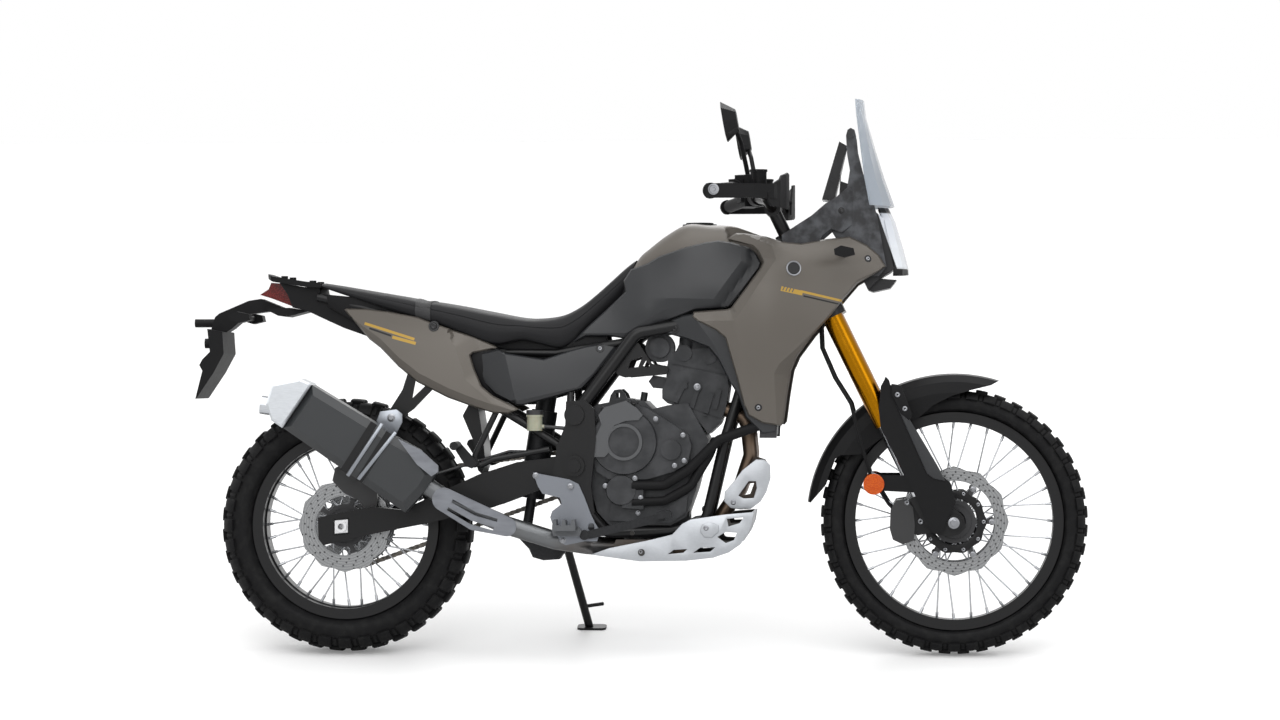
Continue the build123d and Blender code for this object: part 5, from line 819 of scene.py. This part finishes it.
def make_chain():
    """Per link a pair of plates waisted in their middle, and a bush on every pin."""
    pins = chain_loop(LINKS)
    ends = np.roll(pins, -1, axis=0)
    middle, way = (pins + ends) / 2, ends - pins
    way /= np.linalg.norm(way, axis=1, keepdims=True)
    up = way[:, ::-1] * [-1, 1]
    turn = np.linspace(0, 2 * math.pi, 20, endpoint=False)
    along = np.sign(np.cos(turn)) * LINK_SPREAD + LINK_RADIUS * np.cos(turn)
    tall = LINK_RADIUS * np.sin(turn)
    tall = np.where(np.abs(np.cos(turn)) < 0.2, np.sign(tall) * LINK_WAIST, tall)
    plates = middle[:, None] + along[None, :, None] * way[:, None] + tall[None, :, None] * up[:, None]
    turn = np.linspace(0, 2 * math.pi, 10, endpoint=False)
    bushes = pins[:, None] + BUSH_RADIUS * np.stack([np.cos(turn), np.sin(turn)], -1)
    outer = np.where(np.arange(LINKS) % 2 == 0, 8.5, 6.6)[:, None]
    parts = [
        bars(plates, CHAIN_SIDE - outer, CHAIN_SIDE - outer + LINK_WALL),
        bars(plates, CHAIN_SIDE + outer - LINK_WALL, CHAIN_SIDE + outer),
        bars(bushes, CHAIN_SIDE - BUSH_HALF, CHAIN_SIDE + BUSH_HALF),
    ]
    starts = np.cumsum([0, *(len(points) for points, _ in parts)])
    faces = [group + start for (_, groups), start in zip(parts, starts) for group in groups]
    points = np.concatenate([points for points, _ in parts])
    return new_piece("chain_links", points, faces, chain_steel, "chassis", sharp=30)


chain = make_chain()
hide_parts("drive_chain")

# ---------------------------------------------------------------- fasteners
# Button-head screws with hexagon sockets hold the panels; on the engine and the wheels they are flanged hex
# heads. Each stands square on the surface it holds, on the right and, where told, in the same place on the
# left.
screw_steel = Finish("screw_steel", (0.24, 0.245, 0.26), 0.9)
screw_steel.mottle(screw_steel.noise(3, 4), 0.24, 0.2)
screw_black = Finish("screw_black", (0.02, 0.02, 0.021), 0.5)
screw_black.mottle(screw_black.noise(3, 4), 0.28, 0.15)
# Each profile runs from the middle of the head out and down: shares of the radius (out, up).
OUTSIDE = 600
BUTTON = ((0.36, -0.1), (0.38, 0.34), (0.6, 0.4), (0.86, 0.26), (1.0, 0.0), (1.0, -0.5))
FLANGED = ((0.0, 0.75), (0.55, 0.75), (0.62, 0.66), (0.64, 0.16), (0.98, 0.06), (1.0, -0.4))
COLLAR = ((1.05, 0.02), (1.1, 0.2), (1.45, 0.2), (1.6, 0.0), (1.6, -0.4))


def surface_at(piece, x, z, side):
    """The place and the outward direction where a line across the machine at (x, z) first meets a piece."""
    start, way = parked((x, side * OUTSIDE, z)), lean_way((0, -side, 0))
    struck, place, normal, _ = piece.ray_cast(Vector(start), Vector(way))
    if not struck:
        raise ValueError(f"{piece.name} isn't met at {x}, {z}")
    return np.array(place), np.array(normal)


def turned_heads(name, spots, profile, finish, body, corners=()):
    """Lathe shapes on surfaces: spots are (place, direction, radius), the profile is shares of the radius.

    The rings of the profile numbered in corners are hexagons.
    """
    turn = np.linspace(0, 2 * math.pi, 24, endpoint=False)
    swell = np.ones((len(profile), len(turn)))
    hexagon = math.cos(math.pi / 6) / np.cos(turn % (math.pi / 3) - math.pi / 6)
    swell[list(corners)] = hexagon
    shares = np.array(profile)
    points = []
    for place, normal, radius in spots:
        normal = normal / np.linalg.norm(normal)
        first = np.cross(normal, (0.3, 0.1, 1))
        first /= np.linalg.norm(first)
        second = np.cross(normal, first)
        flat = np.cos(turn)[:, None] * first + np.sin(turn)[:, None] * second
        rings = shares[:, :1, None] * swell[..., None] * flat + shares[:, 1:, None] * normal
        points.append((place + radius / 1000 * rings).reshape(-1, 3))
    walls = grid_faces(len(profile), len(turn), loop=True)
    lid = np.arange(len(turn))[None]
    size = len(profile) * len(turn)
    faces = [repeat_faces(walls[:, ::-1], len(spots), size), repeat_faces(lid, len(spots), size)]
    return new_piece(name, upright(np.concatenate(points)), faces, finish, body, sharp=30)


def screws(
    name, piece, places, radius, finish, body="chassis", sides=(-1, 1), profile=BUTTON, corners=(0, 1),
):
    """Screws of one radius in a piece, at places (x, z)."""
    spots = [(*surface_at(piece, x, z, side), radius) for side in sides for x, z in places]
    return turned_heads(name, spots, profile, finish, body, corners)


nodes, shown = frame["nodes"], bpy.data.objects
for part, panels, places, radius, finish, collar in (
    ("cowl", "cowl_panels", ((1090, 645), (1372, 1030)), 6, screw_steel, 6),
    ("cover", "side_cover_panels", ((676, 798),), 6, screw_steel, 7),
    ("shroud", "lower_shroud_panels", ((872, 850),), 8, screw_black, 9),
    ("tail", "tail_side_panels", ((243, 856),), 9, screw_black, 9),
):
    screws(f"{part}_screws", shown[panels], places, radius, finish)
    screws(f"{part}_collars", shown[panels], places, collar, screw_black, profile=COLLAR, corners=())

# A plain dished roundel stands on each side of the cowl.
roundel_rim = ((0.0, 0.05), (0.78, 0.05), (0.82, 0.12), (0.95, 0.14), (1.0, 0.06), (1.0, -0.1))
roundel_face = ((0.0, 0.10), (0.97, 0.10), (1.0, 0.0))
for name, radius, finish, profile in (
    ("cowl_roundels", 20, screw_steel, roundel_rim), ("roundel_faces", 16, screw_black, roundel_face),
):
    screws(name, shown["cowl_panels"], ((1182, 1003),), radius, finish, profile=profile, corners=())

# ---------------------------------------------------------------- engine and chassis hardware
# Flanged screws stand round the clutch cover, the water pump and the head; footrest hangers and skid plate
# are held by bigger ones, and the calipers and the axles by the biggest.
CARRIER_BOLT_CIRCLE = 97
cover_bolts = ((822, 615), (893, 573), (896, 507), (871, 494), (768, 461), (691, 441), (783, 410), (775, 370))
screws("cover_bolts", nodes["engine_covers"], cover_bolts, 6.5, screw_steel, sides=(-1,), profile=FLANGED)
screws(
    "band_bolts", nodes["engine_covers"], ((685, 641), (657, 525), (765, 657)), 6.5, screw_black, sides=(-1,),
)
screws("head_bolts", nodes["cylinder_head"], ((928, 698),), 9, screw_steel, profile=FLANGED)
screws(
    "hanger_bolts", nodes["footrests"], ((512, 468), (603, 440), (583, 300)), 8, screw_steel, profile=FLANGED,
)
screws("caliper_bolts", nodes["front_calipers"], ((1473, 399),), 8, screw_steel, "steering")
screws("foot_bolts", nodes["fork_feet"], ((1508, 350), (1543, 337)), 8, screw_steel, "steering")
screws("tower_screws", nodes["screen_stay"], ((1303, 1155),), 9, screw_black, profile=FLANGED)
turn = np.linspace(0, 2 * math.pi, 60, endpoint=False)
circle = np.stack([np.cos(turn), np.sin(turn)], -1)
carrier_bolts = FRONT_AXLE + CARRIER_BOLT_CIRCLE * circle[::10]
screws("carrier_bolts", nodes["front_discs"], carrier_bolts, 7, screw_steel, "front_wheel", profile=FLANGED)


def within(points, loop):
    """Whether each point is in a loop: the level line beyond it crosses the loop an odd number of times."""
    a, b = loop, np.roll(loop, -1, axis=0)
    x, z = points[:, :1], points[:, 1:]
    crossed = (a[:, 1] > z) != (b[:, 1] > z)
    rise = np.where(a[:, 1] == b[:, 1], 1, b[:, 1] - a[:, 1])
    return (crossed & (x < a[:, 0] + (z - a[:, 1]) * (b[:, 0] - a[:, 0]) / rise)).sum(1) % 2 == 1


def flat_plates(name, edge, holes, far, thick, finish, body="chassis", sides=(-1, 1), roll=1.5):
    """Plates so far out on each side and so thick, with that outline and holes and rounded edges."""
    lines = [np.asarray(line, float) for line in (edge, *holes)]
    starts = np.cumsum([0, *map(len, lines)])
    loops = [list(range(a, b)) for a, b in zip(starts, starts[1:])]
    rims = [pair for loop in loops for pair in zip(loop, loop[1:] + loop[:1])]
    corners = [Vector(p) for p in np.concatenate(lines).tolist()]
    made = mathutils.geometry.delaunay_2d_cdt(corners, rims, loops[:1], 1, 1e-5)
    flat, cells = np.array([list(p) for p in made[0]]), np.array(made[2])
    for hole in lines[1:]:
        cells = cells[~within(flat[cells].mean(1), hole)]
    points = [np.stack([flat[:, 0], np.full(len(flat), side * far), flat[:, 1]], -1) for side in sides]
    faces = [cells[:, ::-side] + n * len(flat) for n, side in enumerate(sides)]
    piece = new_piece(name, np.concatenate(points), faces, finish, body)
    wall = piece.modifiers.new("wall", "SOLIDIFY")
    wall.thickness, wall.offset = thick / 1000, -1
    edges = piece.modifiers.new("edges", "BEVEL")
    edges.width, edges.segments, edges.angle_limit = roll / 1000, 2, math.radians(50)
    return piece


# ---------------------------------------------------------------- under the seat
# A black tray fills the room under the seat, down to the subframe tubes.
tray_edge = (
    (-45, 940), (-40, 908), (30, 868), (100, 838), (250, 820), (345, 785), (430, 765), (540, 752), (640, 775),
    (700, 792), (690, 832), (586, 832), (390, 845), (291, 875), (193, 907), (121, 924),
)
flat_plates("seat_tray", tray_edge, (), 94, 30, pebbled)
nose_block = ((690, 905), (716, 968), (745, 985), (800, 960), (790, 905))
flat_plates("seat_nose_blocks", nose_block, (), 66, 20, pebbled)
joint_edge = ((318, 775), (345, 792), (430, 796), (450, 700), (500, 668), (470, 652), (395, 668), (350, 705))
flat_plates("panel_joint_plates", joint_edge, (), 122, 3, pebbled)

# ---------------------------------------------------------------- front wheel and bars, close up
# Black carrier rings hold the discs, the spindle ends in bright nuts, each fork guard has a raised band down
# its front and a boss for the mudguard's screws, and bright bolts close the ends of the hand guards.
CARRIER_OUTER, CARRIER_INNER, CARRIER_FAR, RING_BOLT_CIRCLE = 82, 60, 67.5, 76
ring_edge = FRONT_AXLE + CARRIER_OUTER * (1 + 0.03 * np.cos(10 * turn))[:, None] * circle
ring_hole = FRONT_AXLE + CARRIER_INNER * circle
flat_plates("carrier_rings", ring_edge, (ring_hole,), CARRIER_FAR, 4, powder, "front_wheel", roll=1)
ring_bolts = FRONT_AXLE + RING_BOLT_CIRCLE * circle[::6]
screws("ring_bolts", shown["carrier_rings"], ring_bolts, 5.5, screw_steel, "front_wheel")
screws("spindle_nuts", nodes["fork_feet"], ((1593, 347),), 15, screw_steel, "steering", profile=FLANGED)

guard_far = abs(upright(surface_at(nodes["fork_guards"], 1480, 560, -1)[0])[1])
guard_band = (
    (1431, 684), (1444, 692), (1482, 610), (1552, 492), (1572, 455), (1540, 462), (1523, 476), (1474, 585),
)
flat_plates("fork_guard_bands", guard_band, (), guard_far + 4, 6, satin_black, "steering", roll=2.5)
boss_edge = ((1432, 706), (1457, 702), (1486, 626), (1478, 612), (1456, 630), (1432, 678))
flat_plates("mudguard_bosses", boss_edge, (), guard_far + 7, 9, pebbled, "steering", roll=2)
screws("mudguard_screws", shown["mudguard_bosses"], ((1448, 678), (1467, 642)), 7, screw_steel, "steering")
DISHED = ((0.0, 0.16), (0.32, 0.16), (0.4, 0.04), (0.7, 0.04), (0.78, 0.16), (1.0, 0.14), (1.0, -0.2))
screws(
    "guard_end_bolts", nodes["hand_guards"], ((990, 1193),), 14, screw_steel, "steering", profile=DISHED,
    corners=(),
)

# ---------------------------------------------------------------- wheels
# Black anodised rims are laced with stainless spokes to black hubs, and carry drilled steel discs on black
# centres. The drill holes are not cut: each is a dark spot of painted shade.
black_rim = Finish("black_rim", (0.004, 0.004, 0.0045), Specular_IOR_Level=0.3)
black_rim.mottle(black_rim.noise(3, 3), 0.24, 0.12)
black_rim.on("front_rim", "rear_rim")


def about_axle(finish, axle):
    """How far a place is from an axle's line, in millimetres, and its turn about it, from 1/2 to 3/2."""
    x, y, z = finish.machine()
    out = ((x - axle[0]) ** 2 + (z - axle[1]) ** 2) ** 0.5
    return out, x.sum("ARCTAN2", z - axle[1], x - axle[0]) / (2 * math.pi) + 1


HUB_RADIUS, HOLE_RADIUS, HOLE_BLUR = 52, 2.4, 0.4
for name, axle in (("front_hub", FRONT_AXLE), ("rear_hub", REAR_AXLE)):
    hub = Finish(name, (0.3, 0.31, 0.32))
    spokes = about_axle(hub, axle)[0].fade(HUB_RADIUS - 1, HUB_RADIUS)
    hub.set(
        Base_Color=hub.blend(spokes, (0.02, 0.02, 0.022), (0.42, 0.43, 0.45)),
        Metallic=0.3 + spokes * 0.65,
        Roughness=0.42 - spokes * 0.2 + hub.noise(1.5, 3) * 0.1,
    )
    hub.on(name)

# Each ring of holes is (radius, number, shift as a share of its gap); the holes are painted dark spots.
front_holes = ((113, 36, 0.0), (121, 36, 0.33), (129, 36, 0.66), (135, 12, 0.1))
rear_holes = ((88, 24, 0.0), (97, 24, 0.33), (106, 24, 0.66), (115, 12, 0.1))
for name, axle, carrier, holes in (
    ("front_discs", FRONT_AXLE, 100, front_holes), ("rear_disc", REAR_AXLE, 76, rear_holes),
    ("rear_sprocket", REAR_AXLE, 0, ()),
):
    disc = Finish(name, (0.33, 0.34, 0.35))
    out, turn = about_axle(disc, axle)
    lap = (out * 0.9 + disc.noise(30, 2) * 2).wave() * 0.5 + 0.5
    swept = out.fade(carrier - 1, carrier) if carrier else lap * 0 + 1
    for radius, count, shift in holes:
        along = (out.sum("FRACT", turn * count + shift) - 0.5) * (2 * math.pi * radius / count)
        away = (along**2 + (out - radius) ** 2) ** 0.5
        # Within each hole the disc takes the black of its centre: painted shade, not a cut.
        swept = swept * away.fade(HOLE_RADIUS - HOLE_BLUR, HOLE_RADIUS + HOLE_BLUR)
    lapped = disc.blend(lap, (0.23, 0.235, 0.24), (0.29, 0.295, 0.30))
    disc.set(
        Base_Color=disc.blend(swept, (0.03, 0.03, 0.032), lapped),
        Metallic=0.35 + swept * 0.6,
        Roughness=0.45 - swept * 0.2 + lap * 0.05,
    )
    disc.on(name)

# ---------------------------------------------------------------- fork
# Upside-down fork: gold-anodised outer tubes, hard-chromed inner tubes, cast black feet and black calipers.
gold = Finish("gold_fork", (0.30, 0.125, 0.003), 1.0)
gold.mottle(gold.noise(60, 2), 0.2, 0.08, (0.27, 0.11, 0.002), (0.34, 0.145, 0.004))
gold.on("fork_outer_tubes")

chrome = Finish("fork_chrome", (0.62, 0.63, 0.65), 1.0)
chrome.mottle(chrome.noise(12, 4), 0.05, 0.1)
chrome.on("fork_inner_tubes")

caliper = Finish("caliper_black", (0.014, 0.014, 0.015), 0.2, Coat_Weight=0.3, Coat_Roughness=0.2)
skin = caliper.noise(1.3, 3)
caliper.mottle(skin, 0.24, 0.14).relief(skin, 0.06)
caliper.on("front_calipers")

reflector = Finish("orange_reflector", (0.62, 0.10, 0.008), Roughness=0.15, Specular_IOR_Level=0.25)
prism = reflector.grain(2.6)
reflector.set(Base_Color=reflector.blend(prism.fade(0.0, 0.6), (0.75, 0.17, 0.015), (0.45, 0.06, 0.006)))
reflector.relief(prism, 0.3)
reflector.on("fork_reflectors")

# ---------------------------------------------------------------- exhaust
# Stainless header pipes are browned by heat near the head; the silencer is satin black with bright end
# pieces.
headers = Finish("header_steel", (0.2, 0.18, 0.16), 0.9)
heat = headers.noise(70, 3) * 0.5 + (headers.machine()[0] - 200).fade(200, 800) * 0.6
headers.set(Base_Color=headers.blend(heat.fade(0.25, 0.9), (0.14, 0.145, 0.15), (0.12, 0.085, 0.06)))
headers.mottle(headers.noise(9, 4), 0.28, 0.2)
headers.on("exhaust_pipes")

silencer = Finish("silencer_black", (0.026, 0.028, 0.030), 0.1, Specular_IOR_Level=0.4)
silencer.mottle(silencer.noise(50, 4), 0.3, 0.14)
silencer.on("silencer")

bright = Finish("bright_steel", (0.5, 0.52, 0.54), 0.85)
bright.mottle(bright.noise(2.5, 4, (0.15, 1, 1)), 0.24, 0.16, (0.42, 0.44, 0.46), (0.60, 0.62, 0.65))
bright.on("silencer_cap")

# The brushed shields are painted dark where they run under the header pipes' shield: painted shade.
shield = Finish("brushed_shield", (0.17, 0.175, 0.19), 0.85)
heat_marks = shield.noise(14, 4, (0.3, 1, 1))
brushed_steel = shield.blend(heat_marks, (0.12, 0.125, 0.14), (0.22, 0.23, 0.25))
shield.set(Base_Color=shield.blend(shield.machine()[0].fade(980, 985), brushed_steel, (0.03, 0.024, 0.02)))
shield.mottle(heat_marks, 0.3, 0.16)
shield.on("exhaust_shields")

# Two bands clamp the silencer to a plate on its hanger.
clamp = Finish("clamp_steel", (0.24, 0.255, 0.28), 0.85)
clamp.mottle(clamp.noise(8, 4), 0.26, 0.16)
band_edges = (
    ((120, 606), (128, 601), (38, 466), (30, 471)), ((155, 584), (163, 579), (66, 457), (58, 462)),
)
for n, band_edge in enumerate(band_edges, 1):
    flat_plates(f"silencer_band_{n}", band_edge, (), 247, 4, clamp, sides=(-1,))
hanger_plate = ((98, 610), (108, 634), (150, 640), (166, 628), (166, 606), (152, 578), (120, 566))
flat_plates("silencer_plate", hanger_plate, (), 171, 4, clamp, sides=(-1,))
screws("clamp_bolts", shown["silencer_plate"], ((137, 618),), 11, screw_steel, sides=(-1,), profile=FLANGED)

# ---------------------------------------------------------------- skid plate and header shield
# Bare rolled aluminium: windowed side plates with raised pads, over painted shade seen through the windows.
alloy = Finish("skid_alloy", (0.5, 0.52, 0.55), 0.7)
rolled = alloy.noise(2, 5, (0.2, 1, 1))
scraped = rolled * 0.6 + alloy.noise(6, 6) * 0.4
alloy.set(Base_Color=alloy.blend(scraped, (0.33, 0.345, 0.365), (0.45, 0.465, 0.49)))
alloy.mottle(rolled, 0.36, 0.16)
SKID_ALLOY, SKID_SHADE = (0.4, 0.41, 0.43), (0.03, 0.028, 0.026)
# The imported plate is painted dark more than 116 mm out on each side: painted shade behind the windows.
under_plates = Finish("skid_inside", SKID_ALLOY, 0.5, Roughness=0.5)
shade_behind_plates = abs(under_plates.machine()[1]).fade(114, 116)
under_plates.set(Base_Color=under_plates.blend(shade_behind_plates, SKID_ALLOY, SKID_SHADE))
under_plates.on("skid_plate")
skid_edge = (
    (653, 262), (700, 279), (800, 299), (865, 315), (890, 342), (912, 354), (1000, 367), (1077, 374),
    (1072, 345), (1062, 320), (1042, 290), (1012, 269), (971, 255), (900, 247), (780, 245),
)
skid_windows = (
    ((1007, 356), (1011, 336), (1040, 345), (1051, 360)),
    ((982, 309), (1004, 293), (1025, 301), (1033, 320), (1004, 322)),
    ((920, 268), (964, 271), (976, 282), (938, 281)), ((854, 264), (894, 268), (903, 277), (869, 275)),
)
flat_plates("skid_sides", skid_edge, skid_windows, 124.5, 2, alloy, roll=0.8)
skid_pads = ((937, 322), (941, 340), (962, 348), (986, 340), (986, 322), (968, 307), (948, 308))
flat_plates("skid_pads", skid_pads, (), 129, 5, alloy, roll=2.5)
screws("skid_bolts", shown["skid_pads"], ((953, 332),), 7, screw_steel)
screws("skid_rear_bolts", shown["skid_sides"], ((783, 270),), 7, screw_steel)

# A pressed shield with a window covers the header pipes on the right.
header_shield = (
    (1046, 482), (1082, 510), (1103, 509), (1118, 495), (1119, 461), (1108, 425), (1093, 400), (1068, 381),
    (1040, 379), (1015, 383), (998, 400), (1000, 425), (1020, 448),
)
header_window = ((1062, 453), (1035, 415), (1049, 408), (1075, 409), (1083, 435), (1081, 453))
flat_plates("header_shield", header_shield, (header_window,), 93, 3, alloy, sides=(-1,))
screws("header_shield_bolts", shown["header_shield"], ((1022, 398),), 7, screw_steel, sides=(-1,))

# ---------------------------------------------------------------- lamps, screen and instruments
# The windscreen is clear acrylic with a cool tint; the headlamp lens is opaque, with a painted pale
# reflection; the tail lamp lens is red, and the display is black glass.
screen_plastic = Finish("clear_screen", (0.52, 0.57, 0.63), Transmission_Weight=0.4, IOR=1.2, Alpha=0.72)
screen_plastic.mottle(screen_plastic.noise(30, 4), 0.04, 0.05)
screen_plastic.on("windscreen")

# One lens runs over the headlamp and its cover, in front of a line from its top to its foot; the rest
# is black. The lens is opaque and painted pale, paler towards its foot: a painted reflection.
LAMP_TOP, LAMP_FOOT = (1397, 1150), (1447, 1005)
lamp_slope = (LAMP_FOOT[0] - LAMP_TOP[0]) / (LAMP_TOP[1] - LAMP_FOOT[1])
for name in ("lamp_cover", "headlamp"):
    lamp = Finish(f"{name}_glass", (0.72, 0.75, 0.8), Specular_IOR_Level=0.3)
    x, y, z = lamp.machine()
    lens = (x - LAMP_TOP[0] - (LAMP_TOP[1] - z) * lamp_slope).fade(-1, 1)
    lens = lens * z.fade(LAMP_TOP[1] + 1, LAMP_TOP[1] - 1) * z.fade(LAMP_FOOT[1] - 1, LAMP_FOOT[1] + 1)
    clear = lamp.blend(z.fade(LAMP_FOOT[1], LAMP_TOP[1]), (0.80, 0.83, 0.87), (0.66, 0.69, 0.75))
    lamp.mottle(lens, 0.4, -0.28, (0.008, 0.008, 0.009), clear)
    lamp.on(name)

red = Finish("red_lens", (0.12, 0.008, 0.006), Roughness=0.2, Specular_IOR_Level=0.25)
red.set(Base_Color=red.blend(red.grain(3.2).fade(0.1, 0.6), (0.20, 0.012, 0.010), (0.08, 0.004, 0.003)))
red.on("tail_lamp")

display = Finish("display_black", (0.006, 0.006, 0.007), Specular_IOR_Level=0.2)
display.mottle(display.noise(20, 4), 0.15, 0.2)
display.on("dash_display")

# ---------------------------------------------------------------- rubber, hoses and the rest
# Grips and hoses are moulded rubber, the radiator has level fins, pedals and shock are dark plated steel, and
# the rear brake's cup is milky plastic.
moulded = Finish("moulded_rubber", (0.007, 0.007, 0.0075), Specular_IOR_Level=0.12)
soft = moulded.noise(1.5, 4)
moulded.mottle(soft, 0.5, 0.16).relief(soft, 0.06)
moulded.on("bar_grips", "brake_hoses", "coolant_hoses")

fins = Finish("radiator_black", (0.02, 0.02, 0.021), 0.4, Roughness=0.5)
fin_rows = (fins.machine()[2] * 2.0).wave() * 0.5 + 0.5
# The fin rows are painted as light and dark bands: painted light on the fins and painted shade between them.
fins.set(Base_Color=fins.blend(fin_rows, (0.008, 0.008, 0.009), (0.035, 0.035, 0.037)))
fins.relief(fin_rows, 0.6)
fins.on("radiator")

plated = Finish("plated_steel", (0.02, 0.02, 0.021), 0.3, Specular_IOR_Level=0.2)
plated.mottle(plated.noise(5, 5), 0.3, 0.16, (0.010, 0.010, 0.011), (0.030, 0.031, 0.033))
plated.on("foot_controls", "rear_shock")

milky = Finish("reservoir_plastic", (0.32, 0.32, 0.24), Subsurface_Weight=0.1)
x, y, z = milky.machine()
cup = x.fade(470, 471) * x.fade(533, 532) * z.fade(580, 582) * z.fade(626, 624)
cup_colour = milky.blend(milky.noise(12, 3), (0.27, 0.27, 0.19), (0.40, 0.40, 0.31))
milky.mottle(cup, 0.45, -0.15, (0.012, 0.012, 0.013), cup_colour)
milky.on("rear_brake")

# ---------------------------------------------------------------- floor, lights and background
# A pale studio floor runs out of sight under a plain white surround, which lights the machine less than it
# shows itself; a wide soft ceiling and four smaller lamps add the rest.
floor_mesh = bpy.data.meshes.new("floor")
floor_mesh.from_pydata([(-9, -12, 0), (9, -12, 0), (9, 12, 0), (-9, 12, 0)], [], [(0, 1, 2, 3)])
floor_finish = Finish("studio_floor", (0.8, 0.8, 0.8), Roughness=0.6, Emission_Color=(1, 1, 1))
floor_finish.set(Emission_Strength=0.2 * floor_finish.node("ShaderNodeLightPath", {}, out="Is Camera Ray"))
floor_mesh.materials.append(floor_finish.material)
floor = bpy.data.objects.new("floor", floor_mesh)
bpy.context.scene.collection.objects.link(floor)

AMBIENT = 0.28
world = bpy.data.worlds.new("studio")
bpy.context.scene.world = world
world.use_nodes = True
surround = Tree(world.node_tree)
seen, through, mirrored = (
    surround.node(
        "ShaderNodeLightPath", {}, out=f"Is {kind} Ray",
    ) for kind in ("Camera", "Transmission", "Glossy")
)
shown_white = surround.node("ShaderNodeMapRange", {}, seen + (through + mirrored), 0.0, 1.0, AMBIENT, 1.0)
background = world.node_tree.nodes["Background"]
surround.join(background.inputs["Color"], (1, 1, 1))
surround.join(background.inputs["Strength"], shown_white)


def soft_light(name, place, aim, size, power):
    """A square area lamp in metres, turned from its place towards its aim."""
    data = bpy.data.lights.new(name, "AREA")
    data.size, data.energy = size, power
    lamp = bpy.data.objects.new(name, data)
    lamp.location = place
    lamp.rotation_euler = (Vector(aim) - Vector(place)).to_track_quat("-Z", "Y").to_euler()
    bpy.context.scene.collection.objects.link(lamp)


soft_light("right", (-0.6, -3.6, 3.0), (0, 0, 0.6), 2.6, 60)
soft_light("right_front", (3.4, -2.6, 2.2), (0.3, 0, 0.6), 1.8, 22)
soft_light("left", (0.5, 4.2, 2.8), (0, 0, 0.6), 2.6, 60)
soft_light("rear", (-3.8, 0.5, 2.2), (0, 0, 0.6), 1.8, 22)

ceiling_data = bpy.data.lights.new("ceiling", "SUN")
ceiling_data.energy = 2.2
ceiling_data.angle = math.radians(75)
ceiling = bpy.data.objects.new("ceiling", ceiling_data)
ceiling.rotation_euler = (math.radians(8), math.radians(4), 0)
bpy.context.scene.collection.objects.link(ceiling)
